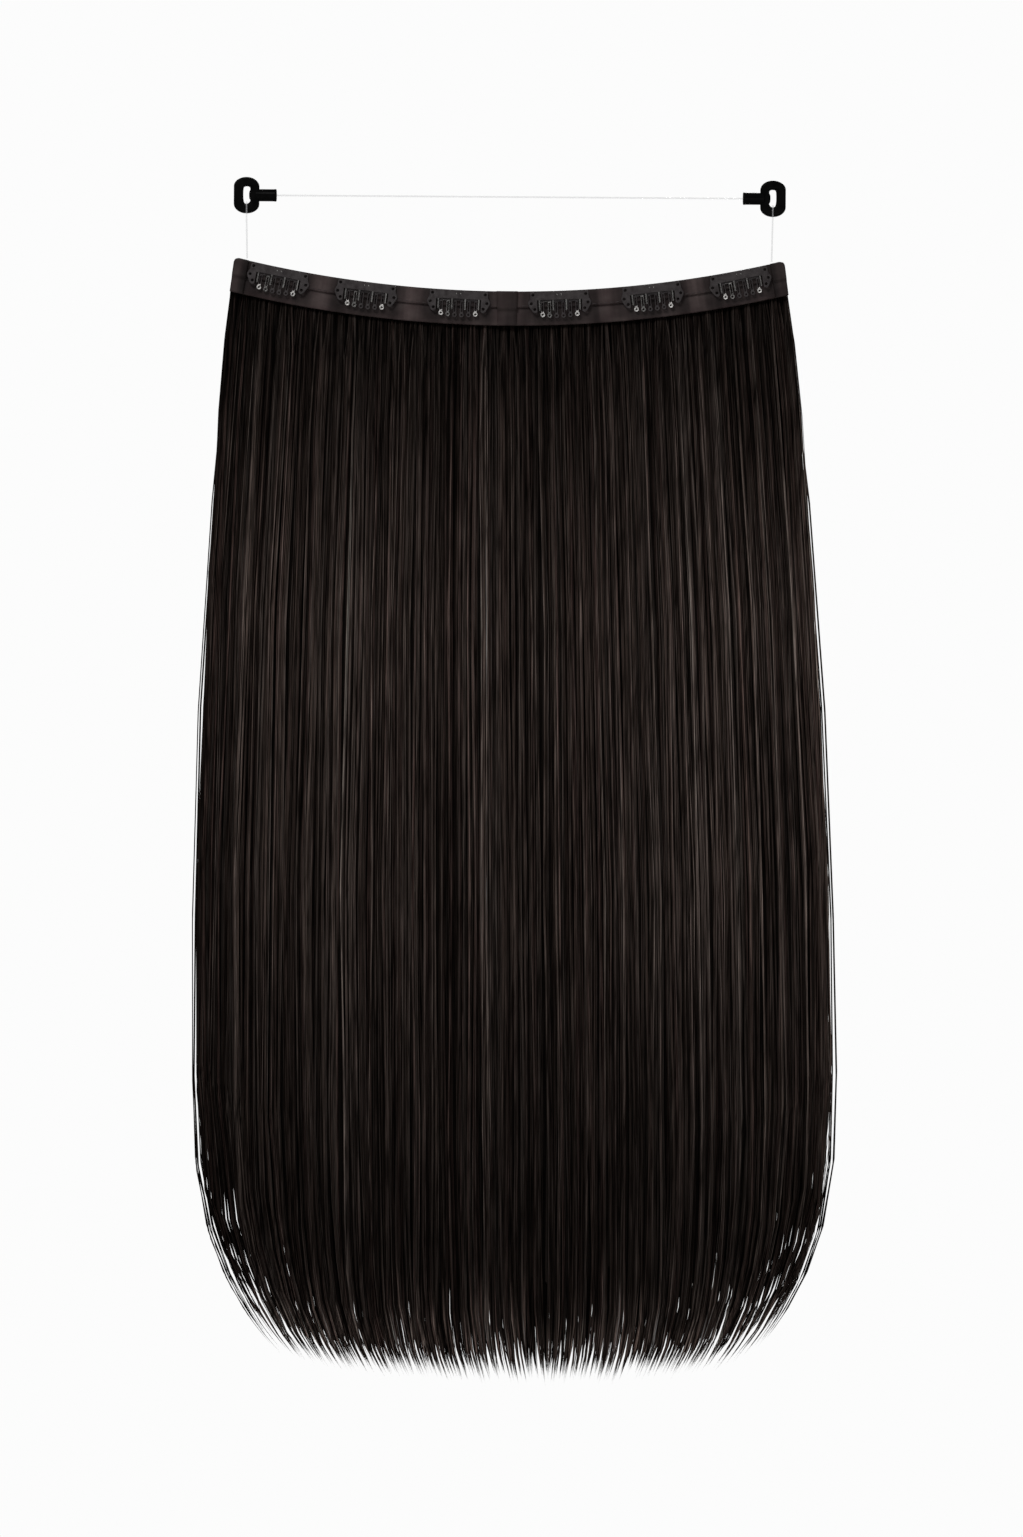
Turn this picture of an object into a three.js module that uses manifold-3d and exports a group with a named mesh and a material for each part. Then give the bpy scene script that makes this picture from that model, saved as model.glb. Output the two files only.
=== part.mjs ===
// Halo hair extension: straight hair sewn behind a curved ribbon band that carries six snap comb clips.
// A clear head wire joins two eyelets, and a short wire hangs each end of the band from its eyelet.
// Millimetres, +X to the right, +Y away from the viewer, +Z up. The origin is the middle of the head wire.

import * as THREE from 'three';
import { mergeVertices } from 'three/addons/utils/BufferGeometryUtils.js';
import Module from 'manifold-3d';

const wasm = await Module();
wasm.setup();

// Clearance between neighbouring pieces
const GAP = 0.3;

// Band: ribbon that hangs in an arc, measured along its top edge and down from it
const BAND_RADIUS = 591;
const BAND_LENGTH = 275.6;
const BAND_MIDDLE_Z = -47.3;
const BAND_HEIGHT = 17;
const BAND_THICKNESS = 1.2;
const RIBBON_THICKNESS = 1;
const FOLD_DROP = 8.2;
const END_TAB_WIDTH = 7;
const CENTRE_TAB_WIDTH = 10.5;
const CENTRE_TAB_SHIFT = -1;
const ARC_STEP_LENGTH = 28;

// Clips: places along the band, and the frame's sheet with its bow
const CLIP_PLACES = [-115, -71, -25, 25, 71, 115];
const CLIP_DROP = 0.5;
const SHEET_THICKNESS = 0.6;
const FRAME_BOW = 1.7;
const FRAME_HALF_WIDTH = 15.9;
const PLATE_HEIGHT = 4.2;
const HOLE_RADIUS = 0.6;

// Right half of the frame's outline, from the plate's top middle round the ear to its inner edge
const FRAME_EDGE = [
  { out: 4.7, down: 0 },
  { out: 9.4, down: 0 },
  { out: 14, down: 0 },
  { out: 14.6, down: 0.6 },
  { out: 14.7, down: 3.2 },
  { out: FRAME_HALF_WIDTH, down: 5.4 },
  { out: 15.6, down: 6.6 },
  { out: 13.7, down: 10 },
  { out: 12.4, down: 10.8 },
  { out: 11.2, down: 10.2 },
  { out: 11.2, down: PLATE_HEIGHT },
];
const FRAME_BARS = [
  { out: 10.1, width: 0.8, end: 9.4 },
  { out: 3.3, width: 0.9, end: 9.6 },
];
const SEWING_HOLES = [
  { out: 13.2, down: 1.5 },
  { out: 14.2, down: 5.8 },
  { out: 12.5, down: 8.7 },
];

// Combs: a spine that is the hinge, with teeth that end in rings along a shallow arc
const SPINE_HALF_LENGTH = 9.6;
const SPINE_DROP = 4.5;
const SPINE_HEIGHT = 1;
const SPINE_CLEARANCE = 0.45;
const TOOTH_COUNT = 6;
const TOOTH_PITCH = 3.46;
const TOOTH_WIDTH = 1.6;
const RING_RADIUS = 1.2;
const RING_HOLE_RADIUS = 0.5;
const RING_DROP_MIDDLE = 12.1;
const RING_RISE_OUTER = 0.7;
const ROUND_STEPS = 4;

// Eyelets: an oval ring with a slot, and a barrel towards the middle
const EYELET_X = 131.6;
const EYELET_HALF_WIDTH = 6.35;
const EYELET_SIDE_HALF_HEIGHT = 4.4;
const EYELET_END_RISE = 4.6;
const EYELET_DEPTH = 4;
const EYELET_ROUNDING = 0.9;
const EYELET_ROUNDING_STEPS = 1;
const EYELET_STEPS = 6;
const BARREL_RADIUS = 2.75;
const BARREL_LIP_RADIUS = 3;
const BARREL_LIP_LENGTH = 0.9;
const BARREL_INNER_X = 116.6;
const BARREL_ROOT_X = 127;
const BARREL_SIDES = 16;
const BORE_RADIUS = 0.75;

// Slot of the right eyelet, from its middle: away from the barrel and up
const SLOT_EDGE = [
  { away: 0.9, up: 4.3 },
  { away: -1.2, up: 4.3 },
  { away: -1.9, up: 3.6 },
  { away: -1.9, up: 2.4 },
  { away: -1.4, up: 1.7 },
  { away: -1.4, up: -1.6 },
  { away: -1.9, up: -2.4 },
  { away: -1.9, up: -3.3 },
  { away: -0.1, up: -4.6 },
  { away: 1.7, up: -3.4 },
  { away: 1.75, up: 3.4 },
];

// Wires: clear nylon, straight across the head and in two short drops
const WIRE_RADIUS = 0.4;
const WIRE_SIDES = 8;
const WIRE_GRIP = 6;
const SIDE_WIRE_STEPS = 18;

// Route of the right short wire: through the slot, over the ring's front and down to the band
const SIDE_WIRE_ROUTE = [
  { x: 131.5, front: -1.6, z: -3.7 },
  { x: 131.5, front: 0.4, z: -3.7 },
  { x: 131.5, front: 1.8, z: -3.8 },
  { x: 131.5, front: 2.6, z: -4.6 },
  { x: 131.4, front: 2.8, z: -6.2 },
  { x: 131.4, front: 2.7, z: -9.5 },
  { x: 131.3, front: 2, z: -17 },
  { x: 131.2, front: 1, z: -25 },
  { x: 131.1, front: 0.3, z: -31.6 },
];

// Hair: the curtain's outline from the front, and the weft strip behind the band
const HAIR_TOP_HALF_WIDTH = 139.8;
const HAIR_TOP_Z = -48;
const HAIR_HALF_WIDTH = 160.5;
const HAIR_WIDEST_Z = -430;
const HAIR_SPREAD_POWER = 1.9;
const HAIR_TIP_Z = -584;
const HAIR_TIP_RISE = 22;
const HAIR_TIP_POWER = 4;
const TURN_IN = 24.5;
const TURN_IN_LENGTH = 121;
const TURN_IN_POWER = 3.7;
const TURN_IN_SPREAD = 3;
const WEFT_DROP_TOP = 9;
const WEFT_DROP_BOTTOM = 16.5;
const WEFT_THICKNESS = 3;
const WEFT_HALF_LENGTH = 136.5;

// Locks: half width as a share of their spacing, half depth and the middle's depth behind the band's front
const LOCK_COUNT = 26;
const LOCK_SIDES = 6;
const LOCK_UNEVEN = 4;
const LOCK_UNEVEN_TURN = 2.4;
const LOCK_OUTERMOST = 0.99;
const LOCK_ROOT_DROP = 10;
const LOCK_STATIONS = [
  { along: 0, wide: 0.7, deep: 2.3, behind: 4.6 },
  { along: 0.02, wide: 0.72, deep: 2.7, behind: 4.6 },
  { along: 0.09, wide: 0.72, deep: 4.2, behind: 4.6 },
  { along: 0.35, wide: 0.72, deep: 5.2, behind: 4.8 },
  { along: 0.74, wide: 0.72, deep: 4.8, behind: 4.8 },
  { along: 0.85, wide: 0.68, deep: 3.9, behind: 4.8 },
  { along: 0.92, wide: 0.56, deep: 2.9, behind: 4.8 },
  { along: 0.965, wide: 0.36, deep: 1.8, behind: 4.8 },
  { along: 1, wide: 0.07, deep: 0.6, behind: 4.8 },
];

// Materials
function finish(color, roughness, metalness) {
  return new THREE.MeshStandardMaterial({ color, roughness, metalness });
}
const SATIN = finish(0x2d2525, 0.55, 0);
const PAINTED_METAL = finish(0x464142, 0.4, 0.7);
const BLACK_PLASTIC = finish(0x070707, 0.25, 0);
const CLEAR_NYLON = finish(0xe8e8e8, 0.15, 0);
const DARK_HAIR = finish(0x1e1917, 0.4, 0);

// Solids: joining and cutting closed meshes
function solidOf(geometry) {
  const bare = geometry.clone();
  bare.deleteAttribute('normal');
  bare.deleteAttribute('uv');
  const merged = mergeVertices(bare);
  return new wasm.Manifold(new wasm.Mesh({
    numProp: 3,
    vertProperties: new Float32Array(merged.attributes.position.array),
    triVerts: new Uint32Array(merged.index.array),
  }));
}

function geometryOf(solid) {
  const mesh = solid.getMesh();
  const geometry = new THREE.BufferGeometry();
  geometry.setAttribute('position', new THREE.BufferAttribute(mesh.vertProperties, 3));
  geometry.setIndex(new THREE.BufferAttribute(mesh.triVerts, 1));
  geometry.computeVertexNormals();
  return geometry;
}

function join(geometries) {
  return geometries.map(solidOf).reduce((whole, solid) => whole.add(solid));
}

// Faces the viewer a solid drawn in the plane of the front view, with its depth towards the viewer
function faceViewer(geometry) {
  return geometry.rotateX(Math.PI / 2);
}

// Flat wall of a shape drawn from the front, between two depths towards the viewer
function wall(shape, back, front, curveSegments) {
  const depth = front - back;
  const geometry = new THREE.ExtrudeGeometry(shape, { depth, bevelEnabled: false, curveSegments });
  return faceViewer(geometry.translate(0, 0, back));
}

function namedMesh(name, geometry, material) {
  const mesh = new THREE.Mesh(geometry, material);
  mesh.name = name;
  return mesh;
}

// Band's arc: its centre is above the origin, and places run along the top edge from the middle
const ARC_CENTRE_Z = BAND_MIDDLE_Z + BAND_RADIUS;

function bandAngle(place) {
  return place / BAND_RADIUS;
}

function bandPoint(place, drop) {
  const radius = BAND_RADIUS + drop;
  const angle = bandAngle(place);
  return { x: radius * Math.sin(angle), z: ARC_CENTRE_Z - radius * Math.cos(angle) };
}

function bandStrip(from, to, dropTop, dropBottom, back, front) {
  const start = bandAngle(from) - Math.PI / 2;
  const end = bandAngle(to) - Math.PI / 2;
  const shape = new THREE.Shape();
  shape.absarc(0, ARC_CENTRE_Z, BAND_RADIUS + dropTop, start, end, false);
  shape.absarc(0, ARC_CENTRE_Z, BAND_RADIUS + dropBottom, end, start, true);
  return wall(shape, back, front, Math.ceil((to - from) / ARC_STEP_LENGTH));
}

// Ribbon layers: the band's front is at depth 0, and the folded upper layer lies on it
const BAND_END = BAND_LENGTH / 2;
const UPPER_BACK = GAP;
const UPPER_FRONT = UPPER_BACK + RIBBON_THICKNESS;
const TAB_FRONT = UPPER_FRONT + GAP + RIBBON_THICKNESS;

// Tab: wraps over both layers, with a step below the fold
function tab(from, to) {
  const stepTop = FOLD_DROP + GAP;
  const stepBottom = stepTop + RIBBON_THICKNESS;
  const upper = bandStrip(from, to, 0, stepBottom, UPPER_FRONT + GAP, TAB_FRONT);
  const step = bandStrip(from, to, stepTop, stepBottom, UPPER_BACK, TAB_FRONT);
  const lower = bandStrip(from, to, stepTop, BAND_HEIGHT, UPPER_BACK, UPPER_FRONT);
  return geometryOf(join([upper, step, lower]));
}

function ribbonMeshes() {
  const band = bandStrip(-BAND_END, BAND_END, 0, BAND_HEIGHT, -BAND_THICKNESS, 0);
  const upper = bandStrip(-BAND_END, BAND_END, 0, FOLD_DROP, UPPER_BACK, UPPER_FRONT);
  const centreFrom = CENTRE_TAB_SHIFT - CENTRE_TAB_WIDTH / 2;
  const centreTo = CENTRE_TAB_SHIFT + CENTRE_TAB_WIDTH / 2;
  return [
    namedMesh('band', band, SATIN),
    namedMesh('upper_ribbon', upper, SATIN),
    namedMesh('centre_tab', tab(centreFrom, centreTo), SATIN),
    namedMesh('end_tab_left', tab(-BAND_END, -BAND_END + END_TAB_WIDTH), SATIN),
    namedMesh('end_tab_right', tab(BAND_END - END_TAB_WIDTH, BAND_END), SATIN),
  ];
}

// Clip frame: plate, ears and bars cut from one sheet, bowed so that the ears rest on the ribbon
function frameOutline() {
  const barEdges = FRAME_BARS.flatMap(({ out, width, end }) => [
    { out: out + width / 2, down: PLATE_HEIGHT },
    { out: out + width / 2, down: end },
    { out: out - width / 2, down: end },
    { out: out - width / 2, down: PLATE_HEIGHT },
  ]);
  const right = [...FRAME_EDGE, ...barEdges].map(({ out, down }) => new THREE.Vector2(out, -down));
  const left = right.map(({ x, y }) => new THREE.Vector2(-x, y)).reverse();
  return [...right, ...left];
}

function clipFrame() {
  const shape = new THREE.Shape(frameOutline());
  for (const side of [-1, 1]) {
    for (const { out, down } of SEWING_HOLES) {
      shape.holes.push(new THREE.Path().absarc(side * out, -down, HOLE_RADIUS, 0, 2 * Math.PI));
    }
  }
  const geometry = wall(shape, GAP, GAP + SHEET_THICKNESS, ROUND_STEPS);
  const points = geometry.attributes.position;
  for (let i = 0; i < points.count; i += 1) {
    const share = points.getX(i) / FRAME_HALF_WIDTH;
    points.setY(i, points.getY(i) - FRAME_BOW * (1 - share * share));
  }
  return geometry;
}

// Clip comb: one flat sheet of a spine and teeth, each tooth ending in a ring
function toothRingDrop(across) {
  const outermost = (TOOTH_COUNT - 1) / 2 * TOOTH_PITCH;
  return RING_DROP_MIDDLE - RING_RISE_OUTER * (across / outermost) ** 2;
}

function clipComb() {
  const spineTop = -(SPINE_DROP - SPINE_HEIGHT / 2);
  const spineBottom = -(SPINE_DROP + SPINE_HEIGHT / 2);
  const neckAngle = Math.acos(TOOTH_WIDTH / 2 / RING_RADIUS);
  const shape = new THREE.Shape();
  shape.moveTo(SPINE_HALF_LENGTH, spineBottom);
  shape.lineTo(SPINE_HALF_LENGTH, spineTop);
  shape.lineTo(-SPINE_HALF_LENGTH, spineTop);
  shape.lineTo(-SPINE_HALF_LENGTH, spineBottom);
  for (let i = 0; i < TOOTH_COUNT; i += 1) {
    const across = (i - (TOOTH_COUNT - 1) / 2) * TOOTH_PITCH;
    const ringZ = -toothRingDrop(across);
    shape.lineTo(across - TOOTH_WIDTH / 2, spineBottom);
    shape.absarc(across, ringZ, RING_RADIUS, Math.PI - neckAngle, neckAngle, false);
    shape.lineTo(across + TOOTH_WIDTH / 2, spineBottom);
    shape.holes.push(new THREE.Path().absarc(across, ringZ, RING_HOLE_RADIUS, 0, 2 * Math.PI));
  }
  return wall(shape, SPINE_CLEARANCE, SPINE_CLEARANCE + SHEET_THICKNESS, ROUND_STEPS);
}

function clipGroup(number, place) {
  const { x, z } = bandPoint(place, CLIP_DROP);
  const group = new THREE.Group();
  group.position.set(x, -UPPER_FRONT, z);
  group.rotation.y = -bandAngle(place);
  group.add(namedMesh(`clip_${number}_frame`, clipFrame(), PAINTED_METAL));
  group.add(namedMesh(`clip_${number}_comb`, clipComb(), PAINTED_METAL));
  return group;
}

// Eyelet on the right: a ring with rounded rims and a slot, joined to a bored barrel
function eyeletRing() {
  const halfWidth = EYELET_HALF_WIDTH - EYELET_ROUNDING;
  const endRise = EYELET_END_RISE - EYELET_ROUNDING;
  const shape = new THREE.Shape();
  shape.absellipse(0, EYELET_SIDE_HALF_HEIGHT, halfWidth, endRise, 0, Math.PI, false, 0);
  shape.absellipse(0, -EYELET_SIDE_HALF_HEIGHT, halfWidth, endRise, Math.PI, 2 * Math.PI, false, 0);
  const geometry = new THREE.ExtrudeGeometry(shape, {
    depth: EYELET_DEPTH - 2 * EYELET_ROUNDING,
    bevelThickness: EYELET_ROUNDING,
    bevelSize: EYELET_ROUNDING,
    bevelSegments: EYELET_ROUNDING_STEPS,
    curveSegments: EYELET_STEPS,
  });
  geometry.translate(0, 0, EYELET_ROUNDING - EYELET_DEPTH / 2);
  return faceViewer(geometry).translate(EYELET_X, 0, 0);
}

function eyeletSlot() {
  const corners = SLOT_EDGE.map(({ away, up }) => new THREE.Vector2(EYELET_X + away, up));
  return wall(new THREE.Shape(corners), -EYELET_DEPTH, EYELET_DEPTH, ROUND_STEPS);
}

function barrel() {
  const lipEnd = BARREL_INNER_X + BARREL_LIP_LENGTH;
  const profile = [
    new THREE.Vector2(0, BARREL_INNER_X),
    new THREE.Vector2(BARREL_LIP_RADIUS, BARREL_INNER_X),
    new THREE.Vector2(BARREL_LIP_RADIUS, lipEnd),
    new THREE.Vector2(BARREL_RADIUS, lipEnd),
    new THREE.Vector2(BARREL_RADIUS, BARREL_ROOT_X),
    new THREE.Vector2(0, BARREL_ROOT_X),
  ];
  return new THREE.LatheGeometry(profile, BARREL_SIDES).rotateZ(-Math.PI / 2);
}

function bore() {
  const length = EYELET_X - BARREL_INNER_X + GAP;
  const geometry = new THREE.CylinderGeometry(BORE_RADIUS, BORE_RADIUS, length, WIRE_SIDES);
  return geometry.rotateZ(Math.PI / 2).translate(BARREL_INNER_X - GAP + length / 2, 0, 0);
}

function eyeletGeometry() {
  const body = join([eyeletRing(), barrel()]);
  return geometryOf(body.subtract(solidOf(eyeletSlot())).subtract(solidOf(bore())));
}

// The left eyelet is the right one turned about the vertical
function eyeletMeshes() {
  const right = namedMesh('eyelet_right', eyeletGeometry(), BLACK_PLASTIC);
  const left = namedMesh('eyelet_left', eyeletGeometry(), BLACK_PLASTIC);
  left.rotation.z = Math.PI;
  return [left, right];
}

// Wires: the head wire runs into both barrels, and each short wire follows its route
function headWire() {
  const length = 2 * (BARREL_INNER_X + WIRE_GRIP);
  return new THREE.CylinderGeometry(WIRE_RADIUS, WIRE_RADIUS, length, WIRE_SIDES).rotateZ(Math.PI / 2);
}

function wireSection() {
  const corners = [];
  for (let i = 0; i < WIRE_SIDES; i += 1) {
    const angle = i / WIRE_SIDES * 2 * Math.PI;
    corners.push(new THREE.Vector2(WIRE_RADIUS * Math.cos(angle), WIRE_RADIUS * Math.sin(angle)));
  }
  return new THREE.Shape(corners);
}

function sideWire(side) {
  const points = SIDE_WIRE_ROUTE.map(({ x, front, z }) => new THREE.Vector3(side * x, -front, z));
  const extrudePath = new THREE.CatmullRomCurve3(points);
  return new THREE.ExtrudeGeometry(wireSection(), { extrudePath, steps: SIDE_WIRE_STEPS });
}

function wireMeshes() {
  return [
    namedMesh('head_wire', headWire(), CLEAR_NYLON),
    namedMesh('side_wire_left', sideWire(-1), CLEAR_NYLON),
    namedMesh('side_wire_right', sideWire(1), CLEAR_NYLON),
  ];
}

// Hair's half width at a height, before the ends turn in
function hairHalfWidth(z) {
  const share = (HAIR_TOP_Z - z) / (HAIR_TOP_Z - HAIR_WIDEST_Z);
  const left = 1 - THREE.MathUtils.clamp(share, 0, 1);
  return HAIR_HALF_WIDTH - (HAIR_HALF_WIDTH - HAIR_TOP_HALF_WIDTH) * left ** HAIR_SPREAD_POWER;
}

// Place across of a lock that keeps its share of the width and turns in near its tip
function hairAcross(share, z) {
  const below = Math.max(0, HAIR_WIDEST_Z - z);
  const turn = TURN_IN * (below / TURN_IN_LENGTH) ** TURN_IN_POWER;
  const sideways = Math.sign(share) * Math.abs(share) ** TURN_IN_SPREAD;
  return share * hairHalfWidth(z) - turn * sideways;
}

// Lock: a cylinder drawn out along its path from the weft to its tip
function lock(index) {
  const share = ((index + 0.5) / LOCK_COUNT * 2 - 1) * LOCK_OUTERMOST;
  const root = bandPoint(share * WEFT_HALF_LENGTH, LOCK_ROOT_DROP);
  const uneven = LOCK_UNEVEN * Math.sin(index * LOCK_UNEVEN_TURN);
  const tipZ = HAIR_TIP_Z + HAIR_TIP_RISE * Math.abs(share) ** HAIR_TIP_POWER + uneven;
  const steps = LOCK_STATIONS.length - 1;
  const geometry = new THREE.CylinderGeometry(1, 1, steps, LOCK_SIDES, steps);
  const points = geometry.attributes.position;
  for (let i = 0; i < points.count; i += 1) {
    const { along, wide, deep, behind } = LOCK_STATIONS[Math.round(steps / 2 - points.getY(i))];
    const z = THREE.MathUtils.lerp(root.z, tipZ, along);
    const halfWidth = wide * 2 * hairHalfWidth(z) / LOCK_COUNT;
    const x = hairAcross(share, z) + halfWidth * points.getX(i);
    points.setXYZ(i, x, behind - deep * points.getZ(i), z);
  }
  return geometry;
}

function hairGeometry() {
  const back = -(BAND_THICKNESS + GAP + WEFT_THICKNESS);
  const front = -(BAND_THICKNESS + GAP);
  const weft = bandStrip(-WEFT_HALF_LENGTH, WEFT_HALF_LENGTH, WEFT_DROP_TOP, WEFT_DROP_BOTTOM, back, front);
  const locks = Array.from({ length: LOCK_COUNT }, (_, index) => lock(index));
  return geometryOf(join([weft, ...locks]));
}

// The whole extension
const halo = new THREE.Group();
halo.add(...ribbonMeshes());
CLIP_PLACES.forEach((place, index) => halo.add(clipGroup(index + 1, place)));
halo.add(...eyeletMeshes());
halo.add(...wireMeshes());
halo.add(namedMesh('hair', hairGeometry(), DARK_HAIR));

export default halo;
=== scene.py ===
# Looks of a halo hair extension: hair strands, satin ribbon, snap comb clips, eyelets and clear wires
import math

import bmesh
import bpy
import numpy as np
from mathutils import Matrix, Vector


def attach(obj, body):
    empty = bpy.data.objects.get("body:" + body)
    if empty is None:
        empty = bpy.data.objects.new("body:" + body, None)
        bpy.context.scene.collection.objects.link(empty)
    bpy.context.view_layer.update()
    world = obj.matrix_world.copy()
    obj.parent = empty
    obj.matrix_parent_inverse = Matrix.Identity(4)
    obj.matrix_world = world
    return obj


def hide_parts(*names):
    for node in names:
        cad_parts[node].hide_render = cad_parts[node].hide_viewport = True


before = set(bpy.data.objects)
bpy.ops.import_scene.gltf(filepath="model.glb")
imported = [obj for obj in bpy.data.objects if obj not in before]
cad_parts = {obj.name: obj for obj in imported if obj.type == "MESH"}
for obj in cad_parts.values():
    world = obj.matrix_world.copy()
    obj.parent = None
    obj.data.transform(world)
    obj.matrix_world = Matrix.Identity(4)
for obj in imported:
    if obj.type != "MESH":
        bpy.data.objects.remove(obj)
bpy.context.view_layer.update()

# Sizes below are in millimetres, and Blender works in metres
MM = 0.001
SEED = 11

# Angles in degrees above which the edges of smooth pieces stay sharp
SHARP_CLOTH = 60
SHARP_TAB = 50
SHARP_STITCH = 80
SHARP_CLIP = 35
SHARP_EYELET = 38
SHARP_CORE = 60

# Range of a noise that colours and roughness follow
NOISE_RANGE = (0.3, 0.7)

# Photograph: size in pixels, scale at the object, the pixel that shows the origin, and a slight roll
PHOTO_WIDTH = 1023
PHOTO_HEIGHT = 1537
PIXEL_SIZE = 0.5
ORIGIN_PIXEL_X = 509.8
ORIGIN_PIXEL_Y = 197
PHOTO_ROLL = math.radians(-0.4)
LENS = 100
SENSOR = 36

# Band: ribbon in an arc, measured along its top edge and down from it
BAND_RADIUS = 591
BAND_LENGTH = 275.6
BAND_MIDDLE_Z = -47.3
BAND_HEIGHT = 17
BAND_THICKNESS = 1.2
BAND_END = BAND_LENGTH / 2
ARC_CENTRE_Z = BAND_MIDDLE_Z + BAND_RADIUS
FOLD_DROP = 8.2
UPPER_BACK = 0.3
UPPER_FRONT = 1.3
END_CORNER = 2.4
END_UPRIGHT = 1.6
END_UPRIGHT_POWER = 16
BAND_BULGE = 0.35
PUCKER = 0.1
PUCKER_WAVES = (0.31, 0.83)
PUCKER_PHASES = {"band_ribbon": 0.4, "upper_fold": 1.7, "weft_strip": 2.3}
RIBBON_STEP = 1.6

# Tabs sewn over the band: depths, widths, rows down, hem, and how they thin towards their sides
TAB_BACK = 1.6
TAB_FRONT = 2.6
END_TAB_WIDTH = 7
CENTRE_TAB_WIDTH = 10.5
CENTRE_TAB_SHIFT = -1
TAB_TAPER = 0.7
TAB_STEP = (8.5, 10.1)
TAB_CORNER_DROP = 2
TAB_ROWS = np.linspace(0.45, BAND_HEIGHT - 0.3, 26)
TAB_HEM = [(BAND_HEIGHT, UPPER_FRONT - 0.2), (BAND_HEIGHT + 0.15, 0.8), (BAND_HEIGHT, 0.5)]
TAB_SHARES = np.array([0, 0.04, 0.12, 0.3, 0.5, 0.7, 0.88, 0.96, 1])
TAB_THINNING = np.array([0.25, 0.75, 1, 1, 1, 1, 1, 0.75, 0.25])

# Painted shade on the cloth beneath the clips and just beside them, reaching down past their rings, and the
# tabs darker all over
PAINTED_CLIP_SHADE = 0.42
PAINTED_CLIP_SHADE_REACH = 5
PAINTED_CLIP_SHADE_FOOT = 14
TAB_SHADE = 0.62

# Weft strip behind the band: drops, depths and half length
WEFT_TOP = 9
WEFT_BOTTOM = 16.3
WEFT_FRONT = 1.5
WEFT_BACK = 4.5
WEFT_END = 136.5

# Stitches: length, spacing, thread and form, then the seams behind: name, drop and depth
STITCH_LENGTH = 2.1
STITCH_PITCH = 2.9
THREAD_RADIUS = 0.16
SEAM_PROUD = 0.03
STITCH_SHARES = [0.12, 0.5, 0.88]
STITCH_PLUMP = [0.75, 1, 0.75]
STITCH_SIDES = 6
FOLD_SEAM_DROP = FOLD_DROP - 0.9
BACK_SEAMS = [
    ("back_seam_1", 1.2, BAND_THICKNESS),
    ("back_seam_2", 7.4, BAND_THICKNESS),
    ("weft_seam_1", 10.4, WEFT_BACK),
    ("weft_seam_2", 13.6, WEFT_BACK),
]

# Clips: places along the band, and the frame's bowed sheet
CLIP_PLACES = [-115, -71, -25, 25, 71, 115]
CLIP_DROP = 0.5
SHEET_BACK = 0.3
SHEET_FRONT = 0.9
SHEET_BEVEL = 0.12
SHEET_BEVEL_STEPS = 2
FRAME_BOW = 1.7
FRAME_HALF_WIDTH = 15.9
PLATE_HEIGHT = 4.2
HOLE_RADIUS = 0.75
SHEET_SLICE = 0.8

# Outlines of sheets: how round a corner may be, steps of corners and circles, and tolerances
ROUNDING_MOST = 0.45
ROUNDING_STEPS = 4
CIRCLE_STEPS = 16
MERGE_DISTANCE = 0.001
CUT_TOLERANCE = 0.0005

# Right half of the frame's outline: out from the middle, down from the top, and the corner's rounding
FRAME_EDGE = [
    (14.6, 0, 0.9),
    (14.7, 3.2, 0.8),
    (15.9, 5.4, 0.8),
    (15.6, 6.6, 0.8),
    (13.7, 10, 0.9),
    (12.4, 10.8, 0.7),
    (11.2, 10.2, 0.5),
    (11.2, PLATE_HEIGHT, 0.4),
]

# Bars of the frame: out from the middle, width and lower end, with their roundings, then holes, the right
# ear's lower rim given bare steel as a painted highlight, and the steel's brightness
FRAME_BARS = [(10.1, 0.8, 9.4), (3.3, 0.9, 9.6)]
BAR_ROOT_ROUNDING = 0.2
BAR_END_ROUNDING = 0.3
SEWING_HOLES = [(13.2, 1.5), (14.2, 5.8), (12.5, 8.7)]
EAR_GLINT_OUT = 12.2
EAR_GLINT_SLOPE = -0.35
BRIGHT_STEEL = 0.42
DULL_STEEL = 0.11

# Pips in the middle of the plate
PIP_OUT = 1.05
PIP_DOWN = 1.7
PIP_RADIUS = 0.5
PIP_HEIGHT = 0.25
PIP_SINK = 0.06
PIP_RINGS = 4
PIP_SIDES = 12

# Combs: a spine with teeth that end in rings along a shallow arc
SPINE_HALF_LENGTH = 9.6
SPINE_TOP = 4
SPINE_BOTTOM = 5
COMB_BACK = 0.45
COMB_FRONT = 1.05
COMB_BEVEL = 0.13
TOOTH_COUNT = 6
TOOTH_PITCH = 3.46
TOOTH_WIDTH = 1.6
TOOTH_SLOT_WIDTH = 0.72
TOOTH_SLOT_TOP = 5.5
TOOTH_SLOT_ABOVE_RING = 1.5
RING_RADIUS = 1.2
RING_HOLE_RADIUS = 0.5
RING_STEPS = 18
RING_DROP_MIDDLE = 12.1
RING_RISE_OUTER = 0.7

# Teeth of a comb bare of paint above their rings, partly wear and partly painted glints: which one, how far
# above its ring, and the steel, 1 bright or 2 dull
WORN_AND_GLINTING_TEETH = {0: (2.4, 1), 1: (7, 2), TOOTH_COUNT - 1: (1.8, 1)}

# Eyelets: an oval ring with a slot, and a barrel towards the middle
EYELET_X = 131.6
EYELET_HALF_WIDTH = 6.35
EYELET_SIDE_HALF_HEIGHT = 4.4
EYELET_END_RISE = 4.6
EYELET_DEPTH = 4
EYELET_ROUNDING = 1.1
EYELET_STEPS = 25
EYELET_BEVEL_STEPS = 5
BARREL_ROOT_X = 127
BARREL_SIDES = 40
BARREL_PROFILE = [
    (116.6, 0.75),
    (116.6, 2.75),
    (116.7, 2.97),
    (116.95, 3.1),
    (117.5, 3.1),
    (117.8, 3.02),
    (BARREL_ROOT_X, 3.02),
    (BARREL_ROOT_X, 0.75),
]

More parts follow.
